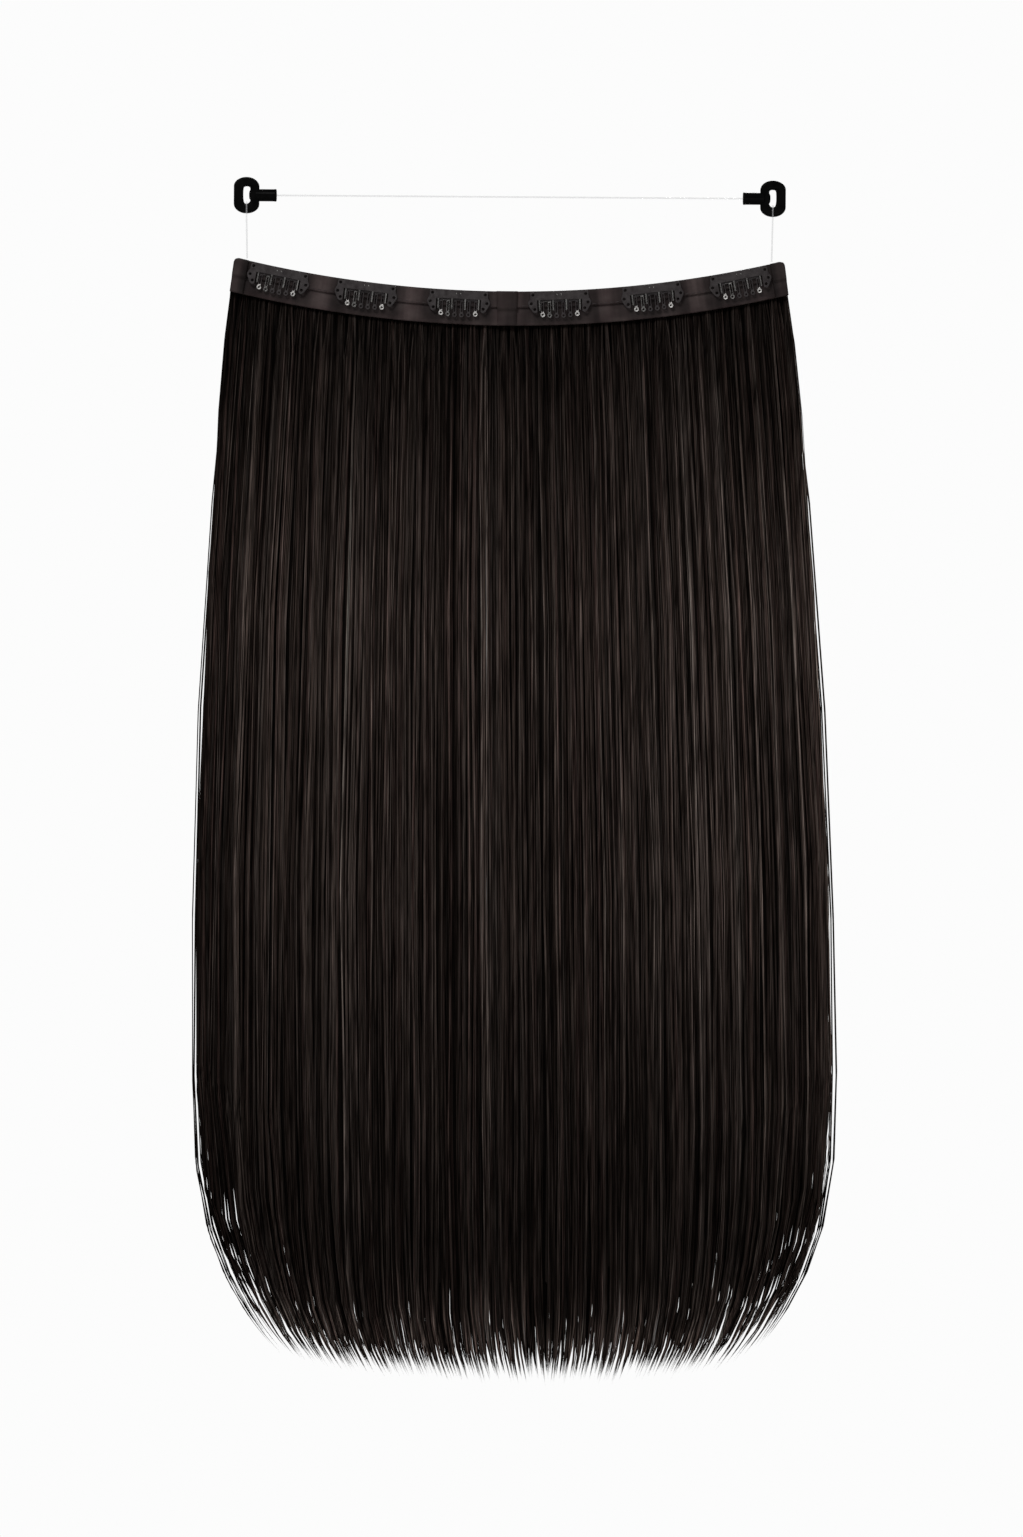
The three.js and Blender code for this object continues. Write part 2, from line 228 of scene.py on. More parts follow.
# Slot of the right eyelet, from its middle: away from the barrel and up
SLOT_EDGE = [
    (1, 4.5), (-1.2, 4.5), (-1.9, 3.6), (-1.9, 2.4), (-1.3, 1.7), (-1.3, -1.6),
    (-1.9, -2.4), (-1.9, -3.3), (-0.1, -4.8), (1.65, -3.4), (1.7, 3.5),
]
SLOT_CUTS = 3

# Wires: clear nylon, straight across the head and in two short drops
WIRE_RADIUS = 0.4
WIRE_BEVEL_STEPS = 4
HEAD_WIRE_HALF_LENGTH = 122.6
HEAD_WIRE_POINTS = 17

# Route of the right short wire: across, towards the viewer and up
SIDE_WIRE_ROUTE = [
    (131.5, -1.6, -3.7),
    (131.5, 0.4, -3.7),
    (131.5, 1.8, -3.8),
    (131.5, 2.6, -4.6),
    (131.4, 2.8, -6.2),
    (131.4, 2.7, -9.5),
    (131.3, 2, -17),
    (131.2, 1, -25),
    (131.1, 0.3, -31.6),
]
SIDE_WIRE_STEPS = 4

# Hair: the curtain's outline from the front
HAIR_TOP_HALF_WIDTH = 141.6
HAIR_TOP_Z = -48
HAIR_HALF_WIDTH = 161
HAIR_WIDEST_Z = -430
HAIR_SPREAD_POWER = 1.9
TURN_IN = 21.8
TURN_IN_LENGTH = 121
TURN_IN_POWER = 3.2
TURN_IN_SPREAD = 3
HAIR_TIP_Z = -597.4
HAIR_TIP_RISE = 13.5
HAIR_TIP_POWER = 2

# How closely what changes towards the curtain's sides keeps to them
SIDES_POWER = 6

# Late turn of the tips towards a line near the middle, and the curtain's lean to the right
LATE_TURN_CENTRE = 0.1
LATE_TURN = 16
LATE_TURN_LENGTH = 55
LATE_TURN_POWER = 2.6
LATE_TURN_SPREAD = 0.45
LATE_TURN_FADE = 5
LEAN = 7.1

# Hair's depth: middle behind the band's front, and half depth along the length
HAIR_MIDDLE_Y = 4.7
DEPTH_ALONG = [0, 0.04, 0.1, 0.35, 0.74, 0.85, 0.93, 1]
HALF_DEPTH = [1.2, 1.9, 3.6, 4.9, 4.6, 3.8, 2.6, 1.2]

# Strands: stations along each one, thickness there, and the locks they lie in
STRAND_STATIONS = np.array([0, 0.05, 0.12, 0.3, 0.56, 0.78, 0.84, 0.89, 0.93, 0.97, 1])
STRAND_THICKNESS = np.array([1, 1, 1, 1, 1, 1, 1, 1, 1, 0.9, 0])
STRAND_RADIUS = 0.17
STRAND_SIDES = 3
STRAND_SIZES = (0.75, 1.2)
STATION_JITTER = 0.012
LOCKS_PER_PIECE = 680
STRANDS_PER_LOCK = 5
LOCK_RADIUS = 0.36
LOCK_REACH = 0.99
LOCK_DEPTHS = (-1, 0.08)

# Last stations but the tip: above the curtain's end, and at least so far above the strand's own tip
END_LEVELS = np.array([82, 57, 37, 18])
END_STEPS = np.array([30, 19, 11, 6])
LEVEL_SWAY = 0.12
LEVEL_TURNS = 29

# Places of the strands on the colour map, in rows, and of one strand in its own cell
MAP_ROWS = 4
MAP_LEFT = 0.1
MAP_WIDTH = 0.8
MAP_FOOT = 0.03
MAP_HEIGHT = 0.94
MAP_ROOT = ((0.1, 0.01), (0.9, 0.01), (0.5, 0.03))

# Uneven rows across the curtain: how far each place strays, and where the row ends
ROW_STRAY = (0.15, 0.85)
ROW_END = 1.02

# Roots: drops below the band's top edge, and how they fan out
ROOT_DROP = (10.5, 14)
ROOT_JITTER = 0.6
ROOT_JITTER_POWER = 20
ROOT_GATHER = 0.6
ROOT_FAN_LENGTH = 30
ROOT_STITCHES = 56
ROOT_PULL = 0.95
ROOT_PULL_RANGE = (0.4, 1)
ROOT_FRONT = 0.7
ROOT_INSET = 1.2
ROOT_INSET_POWER = 8
ROOT_END_DROP = 5
ROOT_END_POWER = 60
ROOT_MIDDLE_Y = 3

# Bundles of locks side by side, with painted shade in the dark gaps between them and deeper in the hair
BUNDLE_COUNT = 136
BUNDLE_GATHER = 0.12
BUNDLE_DEPTH = 0.9
GAP_SHADE = 0.8
GAP_SHADE_POWER = 3
DEPTH_SHADE = 0.15
WANDER = 0.8
WANDER_LENGTH = 260
WANDER_ROOT = 120
WANDER_PHASE = 0.5

# Wisps that the ends gather into, longer at the curtain's sides, in wider tufts
WISP_COUNT = 172
WISP_PULL = (0.1, 0.82)
WISP_PULL_SIDES = 0.93
WISP_PULL_POWER = 5
WISP_HOLD = 3
WISP_LENGTH = (14, 66)
WISP_LENGTH_SIDES = 100
WISP_LEAN = 0.4
WISP_UNEVEN = 4
WISP_POINT = 1.5
WISP_POINT_POWER = 1.5
WISP_POINT_RANGE = (0.5, 1)
TUFT_COUNT = 44
TUFT_PULL = (0, 0.1)
STRAND_UNEVEN = 16
STRAND_UNEVEN_SIDES = 2
STRAND_UNEVEN_SIDES_POWER = 10
STRAND_UNEVEN_POWER = 0.42
STRAND_GATHER = 0.8
STRAND_GATHER_LENGTH = 60
STRAND_WANDER = 0.45
STRAND_WANDER_LENGTH = 330
STRAY = 2.5
STRAY_SHARE = 0.012

# Partings that open among the ends, between some of the wisps and longer at the curtain's sides
PARTING_SEED = 15
PARTING_COUNT = 104
PARTING_LENGTH = (16, 64)
PARTING_LENGTH_SIDES = 84
PARTING_ODDS_SIDES = 0.3
PARTING_HALF_WIDTH = (0.24, 0.5)
PARTING_WIDER_SIDES = 2.6
PARTING_POWER = 0.65
PARTING_REACH = 2
PARTING_CROSSERS = 0.012

# Outer strands that stand clear of the curtain's sides, and how far the rest draws back from them
EDGE_SHARES = [0.948, 0.959, 0.968, 0.979, 0.987, 0.9945, 1.003]
EDGE_STRANDS = [3, 3, 4, 4, 6, 7, 8]
EDGE_RADIUS = 0.33
EDGE_DEPTHS = (-0.3, 0.4)
EDGE_STATIONS = np.array([0, 0.06, 0.2, 0.4, 0.6, 0.75, 0.835, 0.9, 0.945, 0.98, 1])
EDGE_SWAY = 0.3
EDGE_SWAY_LENGTH = 240
EDGE_SWAY_STEP = 2.4
EDGE_TUCK_ALONG = (30, 150)
EDGE_TUCK = 0.022
DRAW_BACK_Z = [-570, -530, -485, -200, -60]
DRAW_BACK = [0.05, 0.022, 0.005, 0.005, 0]
DRAW_BACK_POWER = 14

# Hair colours, as linear shares of light, with how often each occurs
HAIR_TONES = [
    ((0.018, 0.0126, 0.0105), 0.26),
    ((0.066, 0.0484, 0.0414), 0.40),
    ((0.132, 0.1060, 0.0940), 0.20),
    ((0.070, 0.0437, 0.0391), 0.14),
]
LOCK_TONE = 0.45
# Painted light along the strands: painted shade near the roots under the band, a painted highlight over the
# middle of the length and lighter at the tips, shifted up or down for each lock
PAINTED_LIGHT_Z = [-590, -578, -546, -486, -426, -336, -246, -186, -126, -96, -60]
PAINTED_LIGHT_ALONG = [2.3, 0.5, 0.21, 0.31, 0.51, 0.68, 0.85, 0.84, 0.46, 0.28, 0.15]
PAINTED_LIGHT_SHIFT = 30
TONE_MOST = 0.15
BUNDLE_SPREAD = 0.12
LOCK_SPREAD = 0.22
STRAND_SPREAD = 0.36

# Dark inner body of the hair, inside the strands, its near black colour a painted shade for the depth of the
# hair
CORE_REACH = 0.955
CORE_DEPTH = 0.25
CORE_FULLNESS_ACROSS = 0.6
CORE_FULLNESS_DEPTH = 0.5
CORE_END_ABOVE_TIP = 58
CORE_END_SIDES = 84
CORE_END_UNEVEN = 7
CORE_END_WAVES = (31, 83)
CORE_RIB = 0.12
CORE_RIB_TURNS = 46
CORE_ROWS = 40
CORE_AROUND = 160

# Stage: floor, background and ambient light, then lamps: name, place, target, width, height and power
FLOOR_Z = -800
FLOOR_RADIUS = 1100
FLOOR_MIDDLE_Y = -520
FLOOR_SIDES = 96
BACKGROUND = 0.973
AMBIENT = 0.23
LAMPS = [
    ("key", (-600, -1250, 1000), (0, 0, -180), 700, 400, 27),
    ("fill", (500, -1700, -300), (0, 0, -300), 900, 600, 8),
    ("back", (500, 1500, 800), (0, 0, -250), 800, 500, 22),
]


# Object for some data, put into the scene
def add_object(name, data):
    thing = bpy.data.objects.new(name, data)
    bpy.context.scene.collection.objects.link(thing)
    return thing


# Object from points in millimetres
def new_object(name, points, faces):
    mesh = bpy.data.meshes.new(name)
    mesh.from_pydata((np.asarray(points, float) * MM).tolist(), [], faces)
    mesh.validate()
    return add_object(name, mesh)


# Closed body from points in millimetres, with its faces turned outwards
def closed_object(name, points, faces):
    thing = new_object(name, points, faces)
    shape = bmesh.new()
    shape.from_mesh(thing.data)
    bmesh.ops.recalc_face_normals(shape, faces=shape.faces)
    shape.to_mesh(thing.data)
    shape.free()
    return thing


# Mesh of an object with its bevels and modifiers applied
def applied_mesh(thing):
    bpy.context.view_layer.update()
    return bpy.data.meshes.new_from_object(thing.evaluated_get(bpy.context.evaluated_depsgraph_get()))


def shade_smooth(thing, sharp_degrees):
    mesh = thing.data
    mesh.polygons.foreach_set("use_smooth", [True] * len(mesh.polygons))
    mesh.set_sharp_from_angle(angle=math.radians(sharp_degrees))


def dress(thing, materials, body, slot, *nodes):
    for material in materials:
        thing.data.materials.append(material)
    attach(thing, body)
    if nodes:
        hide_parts(*nodes)


# Faces between rings of points that follow each other
def ring_faces(first, count, around):
    faces = []
    for near in range(first, first + (count - 1) * around, around):
        for k in range(around):
            n = (k + 1) % around
            faces.append((near + k, near + n, near + around + n, near + around + k))
    return faces


# Faces from a ring of points to a tip
def tip_faces(first, around, tip):
    return [(first + k, first + (k + 1) % around, tip) for k in range(around)]


# Closed body through rings of points, with flat ends
def loft(name, rings):
    count, around = rings.shape[:2]
    faces = ring_faces(0, count, around)
    faces.append(tuple(range(around)))
    faces.append(tuple(range((count - 1) * around, count * around)))
    return closed_object(name, rings.reshape(-1, 3), faces)


# Colours of a mesh's points
def add_colors(mesh, name, colors):
    attribute = mesh.color_attributes.new(name, "FLOAT_COLOR", "POINT")
    solid = np.concatenate([colors, np.ones((*colors.shape[:-1], 1))], axis=-1)
    attribute.data.foreach_set("color", solid.astype(np.float32).ravel())


# Maps of a ribbon's cloth: its weave along and down, and a painted shade, darker beneath and just beside the
# clips
def add_cloth_maps(thing, along, down, whole):
    mesh = thing.data
    layer = mesh.uv_layers.new(name="weave")
    corners = np.zeros(len(mesh.loops), int)
    mesh.loops.foreach_get("vertex_index", corners)
    places = np.stack([along[corners], down[corners]], axis=1) * MM
    layer.data.foreach_set("uv", places.astype(np.float32).ravel())
    aside = abs(along[:, None] - np.array(CLIP_PLACES)[None, :]).min(axis=1)
    beside = np.maximum(0, aside - FRAME_HALF_WIDTH)
    below = np.maximum(0, down - PAINTED_CLIP_SHADE_FOOT)
    shade = PAINTED_CLIP_SHADE + (1 - PAINTED_CLIP_SHADE) * smooth_step(0, PAINTED_CLIP_SHADE_REACH, np.hypot(beside, below))
    add_colors(mesh, "painted_clip_shade", np.repeat(shade[:, None] * whole, 3, axis=1))


# Point of the band's arc, at a depth towards the viewer
def band_point(place, drop, front):
    radius = BAND_RADIUS + np.asarray(drop, float)
    angle = np.asarray(place, float) / BAND_RADIUS
    x = radius * np.sin(angle)
    z = ARC_CENTRE_Z - radius * np.cos(angle)
    return np.stack(np.broadcast_arrays(x, -np.asarray(front, float), z), axis=-1)


def smooth_step(low, high, value):
    share = np.clip((value - low) / (high - low), 0, 1)
    return share * share * (3 - 2 * share)


# Camera: the photograph's frame, seen straight from the front and rolled about the origin
def add_camera():
    data = bpy.data.cameras.new("camera")
    data.lens = LENS
    data.sensor_width = SENSOR
    camera = add_object("camera", data)
    across = (PHOTO_WIDTH / 2 - ORIGIN_PIXEL_X) * PIXEL_SIZE
    up = (ORIGIN_PIXEL_Y - PHOTO_HEIGHT / 2) * PIXEL_SIZE
    away = PHOTO_HEIGHT * PIXEL_SIZE * LENS / SENSOR
    rolled_across = across * math.cos(PHOTO_ROLL) + up * math.sin(PHOTO_ROLL)
    rolled_up = up * math.cos(PHOTO_ROLL) - across * math.sin(PHOTO_ROLL)
    camera.location = (rolled_across * MM, -away * MM, rolled_up * MM)
    camera.rotation_euler = (math.pi / 2, PHOTO_ROLL, 0)
    bpy.context.scene.camera = camera


# Materials
def new_material(name, color, roughness, specular):
    material = bpy.data.materials.new(name)
    material.use_nodes = True
    shader = material.node_tree.nodes["Principled BSDF"]
    shader.inputs["Base Color"].default_value = (*color, 1)
    shader.inputs["Roughness"].default_value = roughness
    shader.inputs["Specular IOR Level"].default_value = specular
    return material, shader


def add_node(material, kind, **settings):
    node = material.node_tree.nodes.new(kind)
    for key, value in settings.items():
        setattr(node, key, value)
    return node


def join_sockets(material, source, target):
    material.node_tree.links.new(source, target)


# Coordinates fixed to the piece, or a named map, scaled each way
def coordinates(material, scale, map_name=None):
    if map_name:
        source = add_node(material, "ShaderNodeUVMap", uv_map=map_name).outputs["UV"]
    else:
        source = add_node(material, "ShaderNodeTexCoord").outputs["Object"]
    mapping = add_node(material, "ShaderNodeMapping")
    mapping.inputs["Scale"].default_value = scale
    join_sockets(material, source, mapping.inputs["Vector"])
    return mapping.outputs["Vector"]


def noise(material, scale, detail, map_name=None):
    node = add_node(material, "ShaderNodeTexNoise")
    node.inputs["Scale"].default_value = 1
    node.inputs["Detail"].default_value = detail
    join_sockets(material, coordinates(material, scale, map_name), node.inputs["Vector"])
    return node.outputs["Fac"]


def remap(material, value, low, high):
    node = add_node(material, "ShaderNodeMapRange")
    node.inputs["From Min"].default_value = NOISE_RANGE[0]
    node.inputs["From Max"].default_value = NOISE_RANGE[1]
    node.inputs["To Min"].default_value = low
    node.inputs["To Max"].default_value = high
    join_sockets(material, value, node.inputs["Value"])
    return node.outputs["Result"]


def two_colors(material, value, low, high):
    node = add_node(material, "ShaderNodeValToRGB")
    for element, position, color in zip(node.color_ramp.elements, NOISE_RANGE, (low, high)):
        element.position = position
        element.color = (*color, 1)
    join_sockets(material, value, node.inputs["Fac"])
    return node.outputs["Color"]


def multiply(material, color, shade):
    node = add_node(material, "ShaderNodeMix", data_type="RGBA", blend_type="MULTIPLY")
    node.inputs["Factor"].default_value = 1
    join_sockets(material, color, node.inputs["A"])
    join_sockets(material, shade, node.inputs["B"])
    return node.outputs["Result"]


def add_bump(material, shader, height, distance, strength):
    node = add_node(material, "ShaderNodeBump")
    node.inputs["Distance"].default_value = distance * MM
    node.inputs["Strength"].default_value = strength
    join_sockets(material, height, node.inputs["Height"])
    join_sockets(material, node.outputs["Normal"], shader.inputs["Normal"])


# Material whose two colours, and its roughness if a range is given, follow one noise
def mottled_material(name, color, roughness, specular, scale, detail, low, high, rough=None, map_name=None):
    material, shader = new_material(name, color, roughness, specular)
    value = noise(material, scale, detail, map_name)
    join_sockets(material, two_colors(material, value, low, high), shader.inputs["Base Color"])
    if rough:
        join_sockets(material, remap(material, value, *rough), shader.inputs["Roughness"])
    return material, shader, value


# Satin ribbon: fine cross threads, a soft sheen, slightly uneven dye, painted shade of soft upright creases
# and painted shade beneath the clips
def satin_material():
    material, shader = new_material("satin_ribbon", (0.022, 0.016, 0.016), 0.5, 0.06)
    shader.inputs["Sheen Weight"].default_value = 0.02
    shader.inputs["Sheen Roughness"].default_value = 0.4
    shader.inputs["Sheen Tint"].default_value = (0.8, 0.62, 0.6, 1)
    dye = noise(material, (90, 160, 1), 4, "weave")
    color = two_colors(material, dye, (0.0240, 0.0158, 0.0158), (0.0400, 0.0304, 0.0292))
    # Painted shade of soft upright creases: the colour darkens and lightens in long upright bands
    painted_fold_shade = noise(material, (150, 14, 1), 3, "weave")
    shade = two_colors(material, painted_fold_shade, (0.45, 0.44, 0.44), (1.4, 1.4, 1.4))
    # Painted shade beneath and beside the clips, held in the cloth's point colours
    painted_clip_shade = add_node(material, "ShaderNodeVertexColor", layer_name="painted_clip_shade").outputs["Color"]
    color = multiply(material, multiply(material, color, shade), painted_clip_shade)
    join_sockets(material, color, shader.inputs["Base Color"])
    join_sockets(material, remap(material, dye, 0.42, 0.56), shader.inputs["Roughness"])
    threads = add_node(material, "ShaderNodeTexWave", bands_direction="X", wave_profile="SIN")
    threads.inputs["Scale"].default_value = 1
    threads.inputs["Distortion"].default_value = 0.6
    join_sockets(material, coordinates(material, (900, 60, 1), "weave"), threads.inputs["Vector"])
    add_bump(material, shader, threads.outputs["Fac"], distance=0.05, strength=0.35)
    return material


# Weft strip: hair bound side by side, with a fine upright rib
def weft_material():
    material, shader, rib = mottled_material(
        "hair_weft", color=(0.012, 0.009, 0.008), roughness=0.55, specular=0.1, scale=(1300, 60, 1), detail=3,
        low=(0.006, 0.0045, 0.004), high=(0.022, 0.017, 0.015), rough=(0.62, 0.48), map_name="weave",
    )
    add_bump(material, shader, rib, distance=0.3, strength=0.7)
    return material


# Painted steel of the clips: satin dark paint with fine mottling
def paint_material():
    material, shader, _ = mottled_material(
        "clip_paint", color=(0.022, 0.0185, 0.019), roughness=0.42, specular=0.12, scale=[420] * 3, detail=5,
        low=(0.015, 0.0122, 0.0126), high=(0.029, 0.0252, 0.0256), rough=(0.36, 0.5),
    )
    shader.inputs["Metallic"].default_value = 0.1
    add_bump(material, shader, noise(material, [2600] * 3, 3), distance=0.02, strength=0.25)
    return material


# Bare steel where the paint has worn off, also used for painted highlights and glints on the clips
def steel_material(name, bright):
    material, shader, _ = mottled_material(
        name, color=[bright] * 3, roughness=0.3, specular=0.5, scale=[1500] * 3, detail=4,
        low=(bright * 0.55, bright * 0.52, bright * 0.5), high=(bright, bright * 0.98, bright * 0.95),
        rough=(0.26, 0.44),
    )
    shader.inputs["Metallic"].default_value = 1
    return material


# Glossy black plastic of the eyelets, with faint moulding marks
def plastic_material():
    material, shader, _ = mottled_material(
        "eyelet_plastic", color=[0.002] * 3, roughness=0.3, specular=0.009, scale=[300] * 3, detail=3,
        low=[0.0016] * 3, high=(0.0026, 0.0025, 0.0025), rough=(0.2, 0.33),
    )
    add_bump(material, shader, noise(material, [1100] * 3, 2), distance=0.02, strength=0.15)
    return material


# Clear nylon of the wires: pale, glossy and mostly see-through
def nylon_material():
    material, shader, _ = mottled_material(
        "clear_nylon", color=(0.41, 0.41, 0.42), roughness=0.2, specular=0.2, scale=[140] * 3, detail=2,
        low=(0.37, 0.37, 0.38), high=(0.45, 0.45, 0.46), rough=(0.1, 0.2),
    )
    shader.inputs["Alpha"].default_value = 0.2
    return material


# Sewing thread, twisted along its length
def thread_material():
    material, shader, twist = mottled_material(
        "sewing_thread", color=(0.016, 0.011, 0.011), roughness=0.6, specular=0.3, scale=[2200] * 3, detail=2,
        low=(0.010, 0.007, 0.007), high=(0.024, 0.017, 0.017),
    )
    add_bump(material, shader, twist, distance=0.05, strength=0.4)
    return material


# Hair: each strand's own colour, with lighter and darker streaks along its length, partly its own uneven tone
# and partly painted highlight, with the roughness following them
def strand_material():
    material, shader = new_material("hair_strands", (0.04, 0.031, 0.027), 0.5, 0.01)
    tone = add_node(material, "ShaderNodeVertexColor", layer_name="tone")
    # Streaks multiply the colour: partly uneven tone, partly painted highlight
    streak = noise(material, (800, 800, 38), 3)
    shade = two_colors(material, streak, (0.2, 0.195, 0.19), (1.8, 1.8, 1.8))
    join_sockets(material, multiply(material, tone.outputs["Color"], shade), shader.inputs["Base Color"])
    join_sockets(material, remap(material, streak, 0.48, 0.36), shader.inputs["Roughness"])
    return material


# Hair packed inside the curtain: near black as painted shade deep in the hair, ribbed along its length
def core_material():
    material, shader, streak = mottled_material(
        "hair_inside", color=(0.006, 0.0045, 0.004), roughness=0.6, specular=0.01,
        scale=(900, 900, 6), detail=4, low=(0.0028, 0.0020, 0.0017), high=(0.0105, 0.0082, 0.0072),
    )
    add_bump(material, shader, streak, distance=0.5, strength=0.6)
    return material


# Wire: one open line, as thick as the nylon, which leaves the part at a point
def wire(node, route, material):
    name = f"{node}_line"
    data = bpy.data.curves.new(name, "CURVE")
    data.dimensions = "3D"
    data.bevel_depth = WIRE_RADIUS * MM
    data.bevel_resolution = WIRE_BEVEL_STEPS
    data.use_fill_caps = True
    spline = data.splines.new("POLY")
    spline.points.add(len(route) - 1)
    for point, place in zip(spline.points, route):
        point.co = (*(np.asarray(place, float) * MM), 1)
    spline.use_smooth = True
    thing = add_object(name, data)
    dress(thing, [material], "root", "clear_nylon", node)


# Points between the given ones on a smooth line through them
def smooth_route(points, steps):
    padded = [2 * points[0] - points[1], *points, 2 * points[-1] - points[-2]]
    route = []
    for a, b, c, d in zip(padded, padded[1:], padded[2:], padded[3:]):
        for i in range(steps):
            t = i / steps
            bend = (2 * a - 5 * b + 4 * c - d) * t ** 2 + (3 * b - a - 3 * c + d) * t ** 3
            route.append(b + ((c - a) * t + bend) / 2)
    route.append(points[-1])
    return route


def add_wires():
    nylon = nylon_material()
    across = np.linspace(-HEAD_WIRE_HALF_LENGTH, HEAD_WIRE_HALF_LENGTH, HEAD_WIRE_POINTS)
    head = [(x, 0, 0) for x in across]
    wire("head_wire", head, nylon)
    for side, word in ((-1, "left"), (1, "right")):
        points = [np.array((side * x, -front, z)) for x, front, z in SIDE_WIRE_ROUTE]
        route = smooth_route(points, SIDE_WIRE_STEPS)
        wire(f"side_wire_{word}", route, nylon)


# Section of a ribbon with round edges: drop and front of each point, down the front and up the back
def ribbon_section(top, bottom, back, front, face_steps=10, edge_steps=4):
    radius = (front - back) / 2
    middle = (front + back) / 2
    run = bottom - top - 2 * radius
    turns = [math.pi * i / edge_steps for i in range(1, edge_steps)]
    section = [(top + radius + run * i / face_steps, front) for i in range(face_steps + 1)]
    section += [(bottom - radius + radius * math.sin(a), middle + radius * math.cos(a)) for a in turns]
    section += [(bottom - radius - run * i / face_steps, back) for i in range(face_steps + 1)]
    section += [(top + radius - radius * math.sin(a), middle - radius * math.cos(a)) for a in turns]
    return np.array(section)


# Extra drop of a ribbon's top edge that rounds its end corners
def corner_drop(place):
    inside = END_CORNER - np.clip(BAND_END - abs(place), 0, END_CORNER)
    return END_CORNER - math.sqrt(END_CORNER ** 2 - inside ** 2)


# Shift along the band that stands its two ends nearly upright
def end_shift(place, drop):
    upright = END_UPRIGHT * (drop / BAND_HEIGHT - 0.5)
    return -np.sign(place) * upright * (abs(place) / BAND_END) ** END_UPRIGHT_POWER


# Ribbon swept along the band, with shallow puckers on its front
def ribbon(name, top, bottom, back, front, bulge, end=BAND_END):
    places = np.linspace(-end, end, int(2 * end / RIBBON_STEP) + 1)
    start = FOLD_DROP if bottom > FOLD_DROP else top
    phase = PUCKER_PHASES[name]
    slow, fast = PUCKER_WAVES
    rings = []
    downs = []
    for place in places:
        section = ribbon_section(top + corner_drop(place), bottom, back, front)
        drop, depth = section[:, 0], section[:, 1]
        low = np.clip((drop - start) / (bottom - start), 0, 1)
        wave = math.sin(slow * place + phase) + math.sin(fast * place + 2 * phase)
        facing = (depth - back) / (front - back)
        depth = depth + facing * (bulge + PUCKER * wave) * np.sin(math.pi * low)
        rings.append(band_point(place + end_shift(place, drop), drop, depth))
        downs.append(drop)
    thing = loft(name, np.array(rings))
    add_cloth_maps(thing, np.repeat(places, len(downs[0])), np.concatenate(downs), 1)
    shade_smooth(thing, SHARP_CLOTH)
    return thing


# Tab sewn over the band: its section steps down below the fold, and its sides lean in downwards
def tab(name, start, end, at_end):
    outer = TAB_FRONT - (TAB_FRONT - UPPER_FRONT) * smooth_step(*TAB_STEP, TAB_ROWS)
    inner = outer - (TAB_FRONT - TAB_BACK)
    fold_top = ribbon_section(0, BAND_HEIGHT, TAB_BACK, TAB_FRONT)[-3:]
    down_front = np.stack([TAB_ROWS, outer], axis=1)
    up_back = np.stack([TAB_ROWS, inner], axis=1)[::-1]
    section = np.concatenate([down_front, TAB_HEM, up_back, fold_top])
    down = section[:, 0]
    middle = np.interp(down, TAB_ROWS, (outer + inner) / 2)
    rings = []
    places = []
    for share, thin in zip(TAB_SHARES, TAB_THINNING):
        upright = start + (end - start) * share
        lean = 0 if at_end else TAB_TAPER * (down / BAND_HEIGHT) * (1 - 2 * share)
        place = upright + lean * np.ones(len(section))
        drop = down + corner_drop(upright) * (down < TAB_CORNER_DROP)
        depth = middle + (section[:, 1] - middle) * thin
        rings.append(band_point(place + end_shift(place, drop), drop, depth))
        places.append(place)
    thing = loft(name, np.array(rings))
    add_cloth_maps(thing, np.concatenate(places), np.tile(down, len(TAB_SHARES)), TAB_SHADE)
    shade_smooth(thing, SHARP_TAB)
    return thing


# Row of stitches: a plump short thread between each pair of points, lying on the cloth
def stitches(name, starts, ends, material):
    points = []
    faces = []
    out = np.array((0, -1, 0))
    for start, end in zip(starts, ends):
        along = (end - start) / np.linalg.norm(end - start)
        across = np.cross(along, out)
        first = len(points) + 1
        points.append(start)
        for share, wide in zip(STITCH_SHARES, STITCH_PLUMP):
            centre = start + (end - start) * share
            for k in range(STITCH_SIDES):
                turn = 2 * math.pi * k / STITCH_SIDES
                ray = across * math.cos(turn) + out * math.sin(turn)
                points.append(centre + ray * THREAD_RADIUS * wide)
        points.append(end)
        last = len(points) - 1
        faces += tip_faces(first, STITCH_SIDES, first - 1)
        faces += ring_faces(first, len(STITCH_SHARES), STITCH_SIDES)
        faces += tip_faces(last - STITCH_SIDES, STITCH_SIDES, last)
    thing = closed_object(name, points, faces)
    shade_smooth(thing, SHARP_STITCH)
    dress(thing, [material], "root", "ribbon")


# Seams along the band: one on the fold's edge in front, two on the back and two on the weft strip
def add_seams(material):
    count = int((BAND_LENGTH - 2 * END_TAB_WIDTH) / STITCH_PITCH)
    places = (np.arange(count) - (count - 1) / 2) * STITCH_PITCH
    before = places - STITCH_LENGTH / 2
    after = places + STITCH_LENGTH / 2
    shown = abs(places - CENTRE_TAB_SHIFT) > CENTRE_TAB_WIDTH / 2 + STITCH_LENGTH / 2
    front = UPPER_FRONT + SEAM_PROUD
    starts = band_point(before[shown], FOLD_SEAM_DROP, front)
    ends = band_point(after[shown], FOLD_SEAM_DROP, front)
    stitches("fold_seam", starts, ends, material)
    for name, drop, depth in BACK_SEAMS:
        back = -depth - SEAM_PROUD
        stitches(name, band_point(before, drop, back), band_point(after, drop, back), material)


